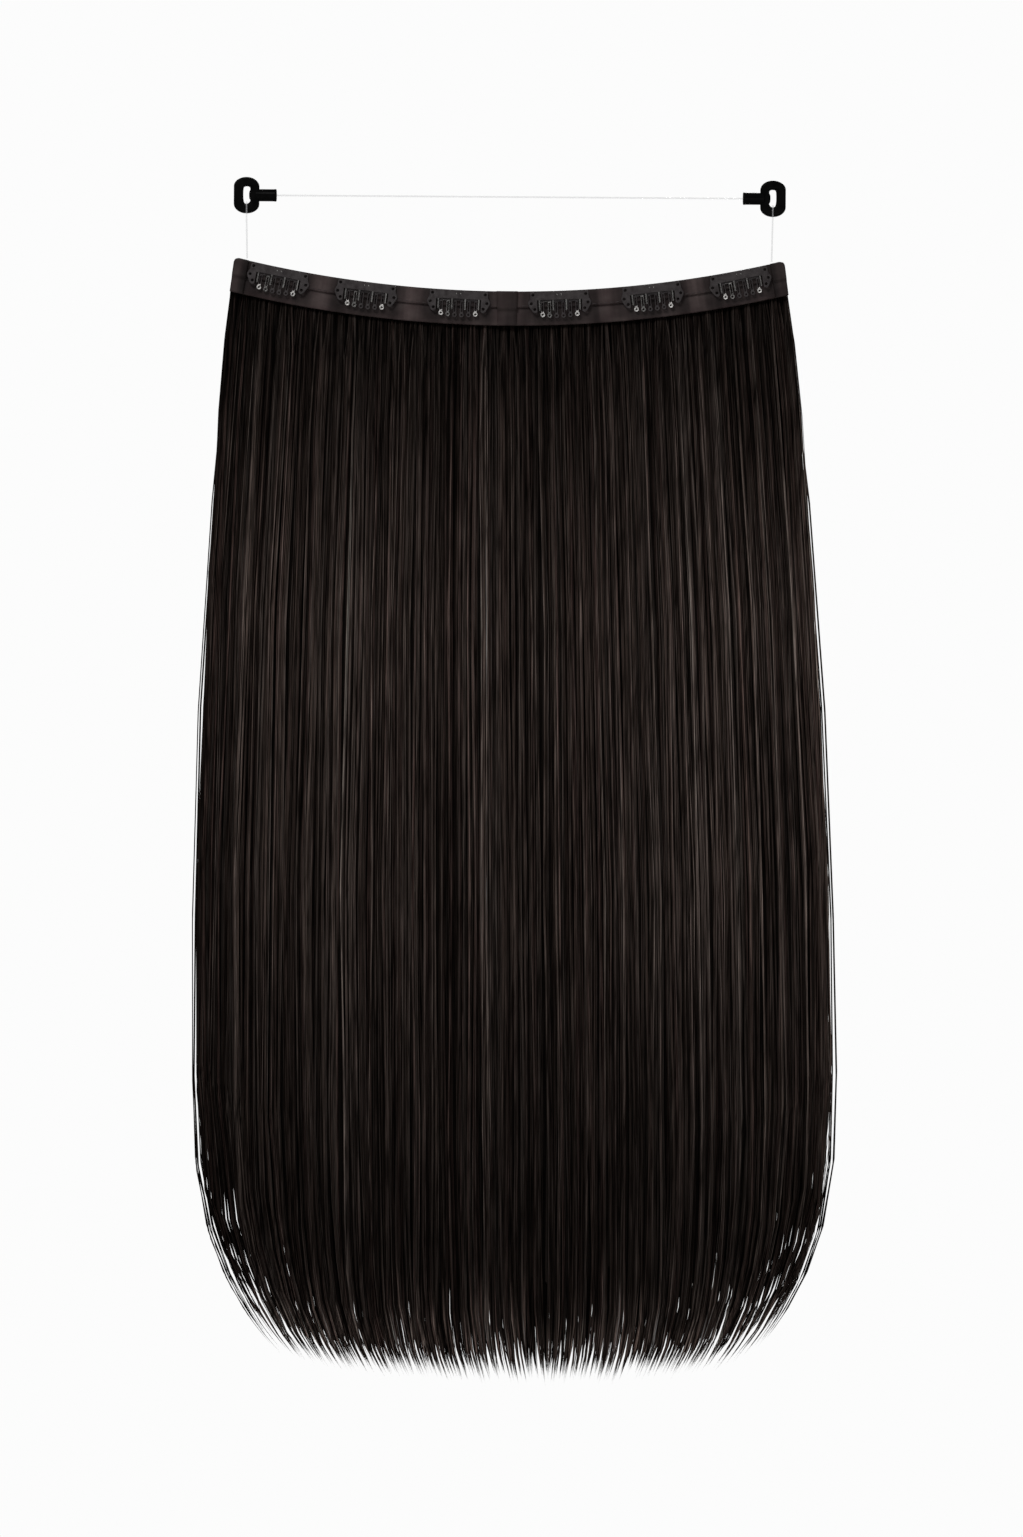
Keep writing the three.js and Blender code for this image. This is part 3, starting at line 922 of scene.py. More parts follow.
def add_ribbons():
    satin = satin_material()
    band = ribbon("band_ribbon", 0, BAND_HEIGHT, -BAND_THICKNESS, 0, BAND_BULGE)
    dress(band, [satin], "root", "ribbon", "band")
    upper = ribbon("upper_fold", 0, FOLD_DROP, UPPER_BACK, UPPER_FRONT, 0)
    dress(upper, [satin], "root", "ribbon", "upper_ribbon")
    tabs = [
        ("centre_wrap", "centre_tab", CENTRE_TAB_SHIFT - CENTRE_TAB_WIDTH / 2, CENTRE_TAB_WIDTH, False),
        ("end_wrap_left", "end_tab_left", -BAND_END, END_TAB_WIDTH, True),
        ("end_wrap_right", "end_tab_right", BAND_END - END_TAB_WIDTH, END_TAB_WIDTH, True),
    ]
    for name, node, start, width, at_end in tabs:
        dress(tab(name, start, start + width, at_end), [satin], "root", "ribbon", node)
    weft = ribbon("weft_strip", WEFT_TOP, WEFT_BOTTOM, -WEFT_BACK, -WEFT_FRONT, 0, WEFT_END)
    dress(weft, [weft_material()], "root", "hair", "hair")
    add_seams(thread_material())


# Outline with its corners rounded: each corner is across, down and rounding
def rounded_outline(corners):
    outline = []
    for i, (across, down, rounding) in enumerate(corners):
        here = np.array((across, down))
        reach = []
        for other in (corners[i - 1], corners[(i + 1) % len(corners)]):
            way = np.array(other[:2]) - here
            length = np.linalg.norm(way)
            reach.append(here + way / length * min(rounding, ROUNDING_MOST * length))
        for k in range(ROUNDING_STEPS + 1):
            t = k / ROUNDING_STEPS
            outline.append((1 - t) ** 2 * reach[0] + 2 * t * (1 - t) * here + t ** 2 * reach[1])
    return outline


def circle_outline(across, down, radius):
    turns = [2 * math.pi * k / CIRCLE_STEPS for k in range(CIRCLE_STEPS)]
    return [(across + radius * math.cos(a), down + radius * math.sin(a)) for a in turns]


# Closed sheet with round edges, from outlines across and down: the outside first, then holes
def sheet_shape(outlines, thickness, bevel, bevel_steps):
    data = bpy.data.curves.new("sheet", "CURVE")
    data.dimensions = "2D"
    data.fill_mode = "BOTH"
    data.extrude = thickness / 2 - bevel
    data.bevel_depth = bevel
    data.bevel_resolution = bevel_steps
    data.offset = -bevel
    for outline in outlines:
        spline = data.splines.new("POLY")
        spline.points.add(len(outline) - 1)
        for point, (across, down) in zip(spline.points, outline):
            point.co = (across, -down, 0, 1)
        spline.use_cyclic_u = True
    holder = add_object("sheet", data)
    mesh = applied_mesh(holder)
    shape = bmesh.new()
    shape.from_mesh(mesh)
    bpy.data.objects.remove(holder)
    bpy.data.curves.remove(data)
    bpy.data.meshes.remove(mesh)
    bmesh.ops.remove_doubles(shape, verts=shape.verts, dist=MERGE_DISTANCE)
    return shape


# Cuts across a sheet, so that it can be bowed smoothly
def slice_sheet(shape, half_width, step):
    for across in np.arange(-half_width + step, half_width, step):
        everything = shape.verts[:] + shape.edges[:] + shape.faces[:]
        bmesh.ops.bisect_plane(
            shape, geom=everything, dist=CUT_TOLERANCE, plane_co=(across, 0, 0), plane_no=(1, 0, 0),
        )


# Points of a clip's sheet in the frame, from across, down and out of the ribbon
def clip_points(place, across, down, out):
    origin = band_point(place, CLIP_DROP, UPPER_FRONT)
    angle = place / BAND_RADIUS
    x = origin[0] + across * math.cos(angle) + down * math.sin(angle)
    z = origin[2] + across * math.sin(angle) - down * math.cos(angle)
    return np.stack([x, origin[1] - out, z], axis=1)


def shape_arrays(shape):
    shape.verts.index_update()
    points = np.array([v.co for v in shape.verts])
    faces = [tuple(v.index for v in f.verts) for f in shape.faces]
    return points, faces


# Frame of a clip: plate, ears and bars of one sheet
def frame_shape():
    right = list(FRAME_EDGE)
    for out, width, end in FRAME_BARS:
        right += [
            (out + width / 2, PLATE_HEIGHT, BAR_ROOT_ROUNDING),
            (out + width / 2, end, BAR_END_ROUNDING),
            (out - width / 2, end, BAR_END_ROUNDING),
            (out - width / 2, PLATE_HEIGHT, BAR_ROOT_ROUNDING),
        ]
    left = [(-out, down, rounding) for out, down, rounding in reversed(right)]
    outlines = [rounded_outline(right + left)]
    for side in (-1, 1):
        outlines += [circle_outline(side * out, down, HOLE_RADIUS) for out, down in SEWING_HOLES]
    shape = sheet_shape(outlines, SHEET_FRONT - SHEET_BACK, SHEET_BEVEL, SHEET_BEVEL_STEPS)
    slice_sheet(shape, FRAME_HALF_WIDTH, SHEET_SLICE)
    return shape_arrays(shape)


def tooth_places():
    return [(i - (TOOTH_COUNT - 1) / 2) * TOOTH_PITCH for i in range(TOOTH_COUNT)]


def ring_drop(across):
    outermost = (TOOTH_COUNT - 1) / 2 * TOOTH_PITCH
    return RING_DROP_MIDDLE - RING_RISE_OUTER * (across / outermost) ** 2


# Comb of a clip: spine, looped teeth and ring ends of one sheet
def comb_shape():
    outline = [(SPINE_HALF_LENGTH, SPINE_BOTTOM), (SPINE_HALF_LENGTH, SPINE_TOP)]
    outline += [(-SPINE_HALF_LENGTH, SPINE_TOP), (-SPINE_HALF_LENGTH, SPINE_BOTTOM)]
    neck = math.acos(TOOTH_WIDTH / 2 / RING_RADIUS)
    holes = []
    for across in tooth_places():
        down = ring_drop(across)
        outline.append((across - TOOTH_WIDTH / 2, SPINE_BOTTOM))
        for turn in np.linspace(math.pi + neck, -neck, RING_STEPS):
            outline.append((across + RING_RADIUS * math.cos(turn), down + RING_RADIUS * math.sin(turn)))
        outline.append((across + TOOTH_WIDTH / 2, SPINE_BOTTOM))
        holes.append(circle_outline(across, down, RING_HOLE_RADIUS))
        half = TOOTH_SLOT_WIDTH / 2
        low = down - TOOTH_SLOT_ABOVE_RING
        slot = [(across - half, TOOTH_SLOT_TOP, half), (across + half, TOOTH_SLOT_TOP, half)]
        slot += [(across + half, low, half), (across - half, low, half)]
        holes.append(rounded_outline(slot))
    thickness = COMB_FRONT - COMB_BACK
    return shape_arrays(sheet_shape([outline, *holes], thickness, COMB_BEVEL, SHEET_BEVEL_STEPS))


# Two small pips of bare steel in the middle of the plate
def pip_arrays():
    points = []
    faces = []
    for side in (-1, 1):
        first = len(points)
        for i in range(PIP_RINGS):
            lean = math.pi / 2 * i / PIP_RINGS
            reach = PIP_RADIUS * math.cos(lean)
            for k in range(PIP_SIDES):
                turn = 2 * math.pi * k / PIP_SIDES
                across = side * PIP_OUT + reach * math.cos(turn)
                points.append((across, -PIP_DOWN + reach * math.sin(turn), PIP_HEIGHT * math.sin(lean)))
        points.append((side * PIP_OUT, -PIP_DOWN, PIP_HEIGHT))
        top = len(points) - 1
        faces.append(tuple(reversed(range(first, first + PIP_SIDES))))
        faces += ring_faces(first, PIP_RINGS, PIP_SIDES)
        faces += tip_faces(top - PIP_SIDES, PIP_SIDES, top)
    return np.array(points), faces


def add_clip_frame(number, place, shape, paint, steel):
    points, faces = shape
    pips, pip_faces = pip_arrays()
    middle = (SHEET_BACK + SHEET_FRONT) / 2
    across = np.concatenate([points[:, 0], pips[:, 0]])
    down = -np.concatenate([points[:, 1], pips[:, 1]])
    out = np.concatenate([middle + points[:, 2], SHEET_FRONT - PIP_SINK + pips[:, 2]])
    out = out + FRAME_BOW * (1 - (across / FRAME_HALF_WIDTH) ** 2)
    joined = faces + [tuple(i + len(points) for i in face) for face in pip_faces]
    thing = closed_object(f"clip_{number}_plate", clip_points(place, across, down, out), joined)
    shade_smooth(thing, SHARP_CLIP)
    dress(thing, [paint, steel], "root", "clip_metal", f"clip_{number}_frame")
    # Bare dull steel on the pips and bars, and on the right ear's lower rim, facing down, as a painted
    # highlight
    for polygon in thing.data.polygons:
        corners = list(polygon.vertices)
        centre_across = across[corners].mean()
        rim = centre_across > EAR_GLINT_OUT and polygon.normal.z < EAR_GLINT_SLOPE
        aside = [abs(abs(centre_across) - bar_out) - width / 2 for bar_out, width, _ in FRAME_BARS]
        bar = min(aside) < 0 and down[corners].min() > PLATE_HEIGHT
        polygon.material_index = int(corners[0] >= len(points) or rim or bar)


def add_clip_comb(number, place, shape, paint, bright, dull):
    points, faces = shape
    across = points[:, 0]
    down = -points[:, 1]
    out = (COMB_BACK + COMB_FRONT) / 2 + points[:, 2]
    thing = closed_object(f"clip_{number}_teeth", clip_points(place, across, down, out), faces)
    shade_smooth(thing, SHARP_CLIP)
    body = f"clip_{number}_comb"
    dress(thing, [paint, bright, dull], body, "clip_metal", body)
    # Teeth bare of paint above their rings: partly wear, partly painted glints
    teeth = np.array(tooth_places())
    for polygon in thing.data.polygons:
        corners = list(polygon.vertices)
        centre_across = across[corners].mean()
        tooth = int(abs(teeth - centre_across).argmin())
        above_ring, tone = WORN_AND_GLINTING_TEETH.get(tooth, (0, 0))
        worn_and_glint = down[corners].mean() > ring_drop(centre_across) - above_ring
        polygon.material_index = tone if worn_and_glint else 0


def add_clips():
    paint = paint_material()
    bright = steel_material("worn_glinting_steel", BRIGHT_STEEL)
    dull = steel_material("dull_steel", DULL_STEEL)
    frame_arrays = frame_shape()
    comb_arrays = comb_shape()
    for number, place in enumerate(CLIP_PLACES, start=1):
        add_clip_frame(number, place, frame_arrays, paint, dull)
        add_clip_comb(number, place, comb_arrays, paint, bright, dull)


# Closed line with its corners cut a number of times, which rounds them
def cut_corners(outline, times):
    points = np.array(outline, float)
    for _ in range(times):
        after = np.roll(points, -1, axis=0)
        cuts = [0.75 * points + 0.25 * after, 0.25 * points + 0.75 * after]
        points = np.stack(cuts, axis=1).reshape(-1, 2)
    return points


# Eyelet on the right: a plump oval ring with a slot, and its barrel
def eyelet_ring():
    outline = []
    for start, middle in ((0, EYELET_SIDE_HALF_HEIGHT), (math.pi, -EYELET_SIDE_HALF_HEIGHT)):
        for turn in np.linspace(start, start + math.pi, EYELET_STEPS):
            up = middle + EYELET_END_RISE * math.sin(turn)
            outline.append((EYELET_HALF_WIDTH * math.cos(turn), up))
    slot = [(away, -up) for away, up in cut_corners(SLOT_EDGE, SLOT_CUTS)]
    shape = sheet_shape([outline, slot], EYELET_DEPTH, EYELET_ROUNDING, EYELET_BEVEL_STEPS)
    points, faces = shape_arrays(shape)
    placed = np.stack([EYELET_X + points[:, 0], -points[:, 2], points[:, 1]], axis=1)
    return placed, faces


def eyelet_barrel():
    rings = []
    for k in range(BARREL_SIDES):
        turn = 2 * math.pi * k / BARREL_SIDES
        rings.append([(x, r * math.cos(turn), r * math.sin(turn)) for x, r in BARREL_PROFILE])
    points = np.array(rings).reshape(-1, 3)
    around = len(BARREL_PROFILE)
    faces = []
    for k in range(BARREL_SIDES):
        for i in range(around):
            n = (i + 1) % around
            m = (k + 1) % BARREL_SIDES
            faces.append((k * around + i, k * around + n, m * around + n, m * around + i))
    return points, faces


def add_eyelets():
    plastic = plastic_material()
    ring = eyelet_ring()
    barrel = eyelet_barrel()
    for side, word in ((-1, "left"), (1, "right")):
        turn = np.array((side, side, 1))
        body = closed_object(f"eyelet_{word}_ring", ring[0] * turn, ring[1])
        tube = closed_object(f"eyelet_{word}_tube", barrel[0] * turn, barrel[1])
        union = body.modifiers.new("join", "BOOLEAN")
        union.operation = "UNION"
        union.object = tube
        joined = applied_mesh(body)
        body.modifiers.clear()
        body.data = joined
        bpy.data.objects.remove(tube)
        shade_smooth(body, SHARP_EYELET)
        dress(body, [plastic], "root", "eyelet_plastic", f"eyelet_{word}")


# Hair's half width at a height, before the ends turn in
def hair_half_width(z):
    left = 1 - np.clip((HAIR_TOP_Z - z) / (HAIR_TOP_Z - HAIR_WIDEST_Z), 0, 1)
    return HAIR_HALF_WIDTH - (HAIR_HALF_WIDTH - HAIR_TOP_HALF_WIDTH) * left ** HAIR_SPREAD_POWER


# Place across of hair that keeps its share of the width and turns in near its tip
def hair_across(share, z):
    below = np.maximum(0, HAIR_WIDEST_Z - z) / TURN_IN_LENGTH
    turn = TURN_IN * below ** TURN_IN_POWER * np.sign(share) * abs(share) ** TURN_IN_SPREAD
    aside = share - LATE_TURN_CENTRE
    low = np.maximum(0, HAIR_TIP_Z + LATE_TURN_LENGTH - z) / LATE_TURN_LENGTH
    late = LATE_TURN * low ** LATE_TURN_POWER * np.sign(aside) * abs(aside) ** LATE_TURN_SPREAD
    late = late * (1 - np.minimum(1, abs(share)) ** LATE_TURN_FADE)
    lean = LEAN * (HAIR_TOP_Z - z) / (HAIR_TOP_Z - HAIR_TIP_Z)
    return share * hair_half_width(z) - turn - late + lean


def hair_tip(share):
    return HAIR_TIP_Z + HAIR_TIP_RISE * np.minimum(1, abs(share)) ** HAIR_TIP_POWER


# Uneven row of shares from one side of the curtain to the other
def uneven_row(rng, count):
    return (np.arange(count) + rng.uniform(*ROW_STRAY, count)) / count * 2 - 1


# Nearest of a row for each share, and how far it lies towards the next one, from -1 to 1
def place_in_row(row, shares):
    nearest = abs(shares[:, None] - row[None, :]).argmin(axis=1)
    edges = np.concatenate([[-ROW_END], (row[1:] + row[:-1]) / 2, [ROW_END]])
    gap = shares - row[nearest]
    reach = np.where(gap > 0, edges[nearest + 1] - row[nearest], row[nearest] - edges[nearest])
    return nearest, np.clip(gap / reach, -1, 1)


# Bundles and root stitches of the front or the back, which lie apart from each other
def bundle_table(rng):
    return {
        "bundles": uneven_row(rng, BUNDLE_COUNT),
        "bundle_phase": rng.uniform(0, 2 * math.pi, BUNDLE_COUNT),
        "bundle_shade": np.exp(rng.normal(0, BUNDLE_SPREAD, BUNDLE_COUNT)),
        "stitches": uneven_row(rng, ROOT_STITCHES),
    }


# Wisps and tufts that go through the whole depth of the hair
def wisp_table(rng):
    return {
        "wisps": uneven_row(rng, WISP_COUNT),
        "wisp_rise": WISP_UNEVEN * rng.random(WISP_COUNT),
        "wisp_length": rng.uniform(*WISP_LENGTH, WISP_COUNT),
        "wisp_lean": rng.normal(0, WISP_LEAN, WISP_COUNT),
        "wisp_pull": rng.uniform(*WISP_PULL, WISP_COUNT),
        "tufts": uneven_row(rng, TUFT_COUNT),
        "tuft_pull": rng.uniform(*TUFT_PULL, TUFT_COUNT),
    }


# Partings: the share across, the length up from the ends and the half width of each one
def parting_table(rng, wisps):
    between = (wisps[1:] + wisps[:-1]) / 2
    odds = 1 + PARTING_ODDS_SIDES * abs(between) ** SIDES_POWER
    shares = rng.choice(between, PARTING_COUNT, replace=False, p=odds / odds.sum())
    sides = abs(shares) ** SIDES_POWER
    length = rng.uniform(*PARTING_LENGTH, PARTING_COUNT) + PARTING_LENGTH_SIDES * sides
    half_width = rng.uniform(*PARTING_HALF_WIDTH, PARTING_COUNT) * (1 + PARTING_WIDER_SIDES * sides)
    return list(zip(shares, length, half_width))


# Places across of strands that step aside from the partings
def step_aside(x, z, above_end, partings):
    for share, length, half_width in partings:
        opening = half_width * np.clip(1 - above_end / length, 0, 1) ** PARTING_POWER
        gap = x - hair_across(share, z)
        x = x + np.sign(gap) * opening * np.clip(1 - abs(gap) / PARTING_REACH, 0, 1)
    return x


# Locks of one piece of hair: share across, depth from -1 in front to 1 behind, strands and radius
def lock_table(rng, side, front):
    places = np.arange(LOCKS_PER_PIECE) + rng.random(LOCKS_PER_PIECE)
    shares = side * places / LOCKS_PER_PIECE * LOCK_REACH
    depths = rng.uniform(*LOCK_DEPTHS, LOCKS_PER_PIECE) * (1 if front else -1)
    counts = np.full(LOCKS_PER_PIECE, STRANDS_PER_LOCK)
    radii = np.full(LOCKS_PER_PIECE, LOCK_RADIUS)
    if front:
        edges = side * np.array(EDGE_SHARES)
        shares = np.concatenate([shares, edges])
        depths = np.concatenate([depths, np.linspace(*EDGE_DEPTHS, len(edges))])
        counts = np.concatenate([counts, EDGE_STRANDS])
        radii = np.concatenate([radii, np.full(len(edges), EDGE_RADIUS)])
    return shares, depths, counts, radii


def random_tones(rng, count):
    colors = np.array([color for color, _ in HAIR_TONES])
    odds = np.array([share for _, share in HAIR_TONES])
    return colors[rng.choice(len(colors), count, p=odds / odds.sum())]


# Points and colours along every strand of one piece, from root to tip
def strand_paths(rng, groups, side, front):
    shares, depths, counts, radii = lock_table(rng, side, front)
    locks = len(shares)
    of_lock = np.repeat(np.arange(locks), counts)
    count = len(of_lock)

    # Column with a lock's value for each of its strands
    def each(values):
        return values[of_lock][:, None]

    own = each(shares)
    aside = np.minimum(1, abs(own))
    outer = each(radii) < LOCK_RADIUS
    bundle, beside = place_in_row(groups["bundles"], shares)
    wisp, off_wisp = place_in_row(groups["wisps"], shares)
    point = WISP_POINT * abs(off_wisp) ** WISP_POINT_POWER * rng.uniform(*WISP_POINT_RANGE, locks)
    rise = groups["wisp_rise"][wisp] + point

    # Heights of the stations, from the root under the band to the tip
    root_drop = rng.uniform(*ROOT_DROP, count) + ROOT_END_DROP * abs(shares[of_lock]) ** ROOT_END_POWER
    root_z = band_point(shares[of_lock] * HAIR_TOP_HALF_WIDTH, root_drop, 0)[:, 2:]
    feather = 1 + STRAND_UNEVEN_SIDES * abs(own) ** STRAND_UNEVEN_SIDES_POWER * ~outer
    uneven = STRAND_UNEVEN * feather * rng.random((count, 1)) ** STRAND_UNEVEN_POWER
    tip_z = each(hair_tip(shares) + rise) + uneven
    end_z = each(hair_tip(shares))
    along = np.repeat(STRAND_STATIONS[None, :], count, axis=0)
    along[:, 3:-5] += rng.uniform(-STATION_JITTER, STATION_JITTER, (count, 1))
    z = root_z + (tip_z - root_z) * along
    levels = END_LEVELS * (1 + LEVEL_SWAY * np.sin(LEVEL_TURNS * own))
    z[:, -5:-1] = np.maximum(end_z + levels, tip_z + END_STEPS)
    z = np.where(outer, root_z + (tip_z - root_z) * EDGE_STATIONS, z)
    below_root = root_z - z
    above_end = z - end_z
    along = below_root / (root_z - tip_z)

    # Shares across: bundles draw together, ends gather into wisps, outer strands start tucked in
    share = own + (each(groups["bundles"][bundle]) - own) * BUNDLE_GATHER
    wisp_length = each(groups["wisp_length"][wisp]) + WISP_LENGTH_SIDES * aside ** SIDES_POWER
    near_tip = 1 - smooth_step(0, 1, (above_end - WISP_HOLD) / wisp_length)
    pull = each(groups["wisp_pull"][wisp])
    pull = (pull + (WISP_PULL_SIDES - pull) * aside ** WISP_PULL_POWER) * near_tip
    share = share + (each(groups["wisps"][wisp]) - share) * pull
    tuft = place_in_row(groups["tufts"], groups["wisps"])[0][wisp]
    draw = (groups["tufts"][tuft] - groups["wisps"][wisp]) * groups["tuft_pull"][tuft]
    share = share + each(draw) * near_tip
    share = share * (1 - np.interp(z, DRAW_BACK_Z, DRAW_BACK) * abs(own) ** DRAW_BACK_POWER)
    tuck = EDGE_TUCK * (1 - smooth_step(*EDGE_TUCK_ALONG, below_root))
    share = np.where(outer, own * (1 - tuck), share)

    # Places across and in depth
    turn = rng.uniform(0, 2 * math.pi, count)
    reach = np.sqrt(rng.random(count)) * radii[of_lock]
    fan = 1 - smooth_step(0, ROOT_FAN_LENGTH, below_root)
    loose = 1 - STRAND_GATHER * (1 - smooth_step(0, STRAND_GATHER_LENGTH, z - tip_z))
    loose = loose * (1 - ROOT_GATHER * fan)
    phase = each(groups["bundle_phase"][bundle] + rng.normal(0, WANDER_PHASE, locks))
    wander = WANDER * np.sin(2 * math.pi * z / WANDER_LENGTH + phase)
    wander = wander * smooth_step(0, WANDER_ROOT, below_root) * (1 - near_tip)
    own_phase = rng.uniform(0, 2 * math.pi, (count, 1))
    sway = STRAND_WANDER * np.sin(2 * math.pi * z / STRAND_WANDER_LENGTH + own_phase)
    sway = sway * (1 - near_tip) * (1 - fan)
    stray = STRAY * rng.normal(0, 1, (count, 1)) * (rng.random((count, 1)) < STRAY_SHARE) * near_tip
    jitter = each(rng.normal(0, ROOT_JITTER, locks)) * (1 - abs(own) ** ROOT_JITTER_POWER) * fan
    stitch, _ = place_in_row(groups["stitches"], shares)
    sewn = ROOT_PULL * rng.uniform(*ROOT_PULL_RANGE, locks) * (abs(depths) > ROOT_FRONT)
    share = share + each((groups["stitches"][stitch] - shares) * sewn) * fan
    tip_lean = each(groups["wisp_lean"][wisp]) * near_tip ** 2
    inset = ROOT_INSET * side * abs(own) ** ROOT_INSET_POWER * fan
    x = hair_across(share, z) - inset + jitter + tip_lean + (wander + sway + stray) * ~outer
    x = x + (reach * np.cos(turn))[:, None] * loose
    edge_phase = EDGE_SWAY_STEP * of_lock[:, None]
    edge_sway = EDGE_SWAY * np.sin(2 * math.pi * z / EDGE_SWAY_LENGTH + edge_phase)
    x = x + edge_sway * outer * (1 - fan)
    half_depth = np.interp(along, DEPTH_ALONG, HALF_DEPTH)
    fullness = half_depth / max(HALF_DEPTH)
    middle_y = np.interp(along, DEPTH_ALONG[:2], [ROOT_MIDDLE_Y, HAIR_MIDDLE_Y])
    y = middle_y + each(depths) * half_depth
    ridge = BUNDLE_DEPTH * beside ** 2 * (1 if front else -1)
    y = y + (each(ridge) + (reach * np.sin(turn))[:, None] * loose) * fullness

    # Colours: painted shade near the roots under the band, in the gaps between bundles and deeper in the
    # hair, a painted highlight over the middle of the length, and lighter at the tips
    shift = each(rng.uniform(-PAINTED_LIGHT_SHIFT, PAINTED_LIGHT_SHIFT, locks))
    shade = np.interp(z + shift, PAINTED_LIGHT_Z, PAINTED_LIGHT_ALONG)
    # Painted shade: darker in the gaps between bundles and deeper in the hair
    lock_shade = groups["bundle_shade"][bundle] * (1 - GAP_SHADE * abs(beside) ** GAP_SHADE_POWER)
    lock_shade = lock_shade * (DEPTH_SHADE + (1 - DEPTH_SHADE) * np.minimum(1, abs(depths)) ** 2)
    lock_shade = lock_shade * np.exp(rng.normal(0, LOCK_SPREAD, locks))
    strand_shade = lock_shade[of_lock] * np.exp(rng.normal(0, STRAND_SPREAD, count))
    tones = random_tones(rng, locks)[of_lock] * LOCK_TONE + random_tones(rng, count) * (1 - LOCK_TONE)
    tones = tones[:, None, :] * (shade * strand_shade[:, None])[:, :, None]

    # Partings: all but the outer strands and a few others step aside
    crosses = outer | (rng.random((count, 1)) < PARTING_CROSSERS)
    x = np.where(crosses, x, step_aside(x, z, above_end, groups["partings"]))
    return np.stack([x, y, z], axis=2), np.minimum(tones, TONE_MOST)


# Cells of the colour map, in rows: each strand has a narrow one of its own
def strand_map(count):
    columns = -(-count // MAP_ROWS)
    index = np.arange(count)
    left = (index // MAP_ROWS) / columns
    low = (index % MAP_ROWS) / MAP_ROWS
    return left, low, 1 / columns, 1 / MAP_ROWS


# One mesh of closed three-sided strands that taper to a point
def add_strands(name, paths, tones, rng, material):
    order = np.argsort(tones.mean(axis=(1, 2)))
    paths, tones = paths[order], tones[order]
    count, stations = paths.shape[:2]
    spin = rng.uniform(0, 2 * math.pi, count)
    size = STRAND_RADIUS * rng.uniform(*STRAND_SIZES, count)
    corner = np.arange(STRAND_SIDES) * 2 * math.pi / STRAND_SIDES
    turn = spin[:, None, None] + corner[None, None, :]
    radius = size[:, None, None] * STRAND_THICKNESS[None, :, None]
    rings = np.repeat(paths[:, :, None, :], STRAND_SIDES, axis=2)
    rings[..., 0] += radius * np.cos(turn)
    rings[..., 1] += radius * np.sin(turn)
    body = rings[:, :-1].reshape(count, -1, 3)
    points = np.concatenate([body, paths[:, -1:]], axis=1)
    per_strand = points.shape[1]
    colors = np.concatenate([np.repeat(tones[:, :-1], STRAND_SIDES, axis=1), tones[:, -1:]], axis=1)
    faces = []
    spots = []
    rise = STRAND_STATIONS * MAP_HEIGHT + MAP_FOOT
    spread = MAP_LEFT + MAP_WIDTH * np.arange(STRAND_SIDES + 1) / STRAND_SIDES
    for s in range(stations - 1):
        for k in range(STRAND_SIDES):
            n = (k + 1) % STRAND_SIDES
            a, b = s * STRAND_SIDES + k, s * STRAND_SIDES + n
            here = (spread[k], rise[s])
            beside = (spread[k + 1], rise[s])
            above = (spread[k], rise[s + 1])
            across = (spread[k + 1], rise[s + 1])
            if s == stations - 2:
                faces.append((a, per_strand - 1, b))
                spots.append((here, above, beside))
            else:
                faces.append((a, a + STRAND_SIDES, b))
                faces.append((b, a + STRAND_SIDES, b + STRAND_SIDES))
                spots.append((here, above, beside))
                spots.append((beside, above, across))
    faces.append((0, 1, 2))
    spots.append(MAP_ROOT)
    faces = np.array(faces)
    spots = np.array(spots)
    all_faces = (faces[None] + (np.arange(count) * per_strand)[:, None, None]).reshape(-1, 3)
    left, low, wide, high = strand_map(count)
    map_u = left[:, None, None] + spots[None, ..., 0] * wide
    map_v = low[:, None, None] + spots[None, ..., 1] * high
    mesh = bpy.data.meshes.new(name)
    mesh.vertices.add(count * per_strand)
    mesh.vertices.foreach_set("co", (points * MM).astype(np.float32).ravel())
    mesh.loops.add(all_faces.size)
    mesh.loops.foreach_set("vertex_index", all_faces.astype(np.int32).ravel())
    mesh.polygons.add(len(all_faces))
    mesh.polygons.foreach_set("loop_start", np.arange(0, all_faces.size, 3, dtype=np.int32))
    mesh.polygons.foreach_set("use_smooth", np.ones(len(all_faces), bool))
    mesh.update(calc_edges=True)
    layer = mesh.uv_layers.new(name="OFBake")
    layer.data.foreach_set("uv", np.stack([map_u, map_v], axis=-1).astype(np.float32).ravel())
    add_colors(mesh, "tone", colors)
    dress(add_object(name, mesh), [material], "root", "hair", "hair")


# Dark body inside the strands, near black as painted shade: an oval section along the curtain, ribbed like
# locks
def add_core():
    rows = []
    turns = 2 * math.pi * np.arange(CORE_AROUND) / CORE_AROUND
    share = CORE_REACH * np.sign(np.cos(turns)) * abs(np.cos(turns)) ** CORE_FULLNESS_ACROSS
    face = np.sign(np.sin(turns)) * abs(np.sin(turns)) ** CORE_FULLNESS_DEPTH
    root = band_point(share * HAIR_TOP_HALF_WIDTH, ROOT_DROP[1], 0)
    end = hair_tip(share) + CORE_END_ABOVE_TIP + CORE_END_SIDES * abs(share) ** SIDES_POWER
    slow, fast = CORE_END_WAVES
    end = end + CORE_END_UNEVEN * (np.sin(slow * share) + np.sin(fast * share + 1))
    rib = 1 - CORE_RIB * abs(np.sin(CORE_RIB_TURNS * share))
    for along in np.linspace(0, 1, CORE_ROWS):
        z = root[:, 2] + (end - root[:, 2]) * along
        half = CORE_DEPTH * np.interp(along, DEPTH_ALONG, HALF_DEPTH)
        rows.append(np.stack([hair_across(share, z), HAIR_MIDDLE_Y + half * face * rib, z], axis=1))
    thing = loft("hair_inside", np.array(rows))
    shade_smooth(thing, SHARP_CORE)
    dress(thing, [core_material()], "root", "hair")


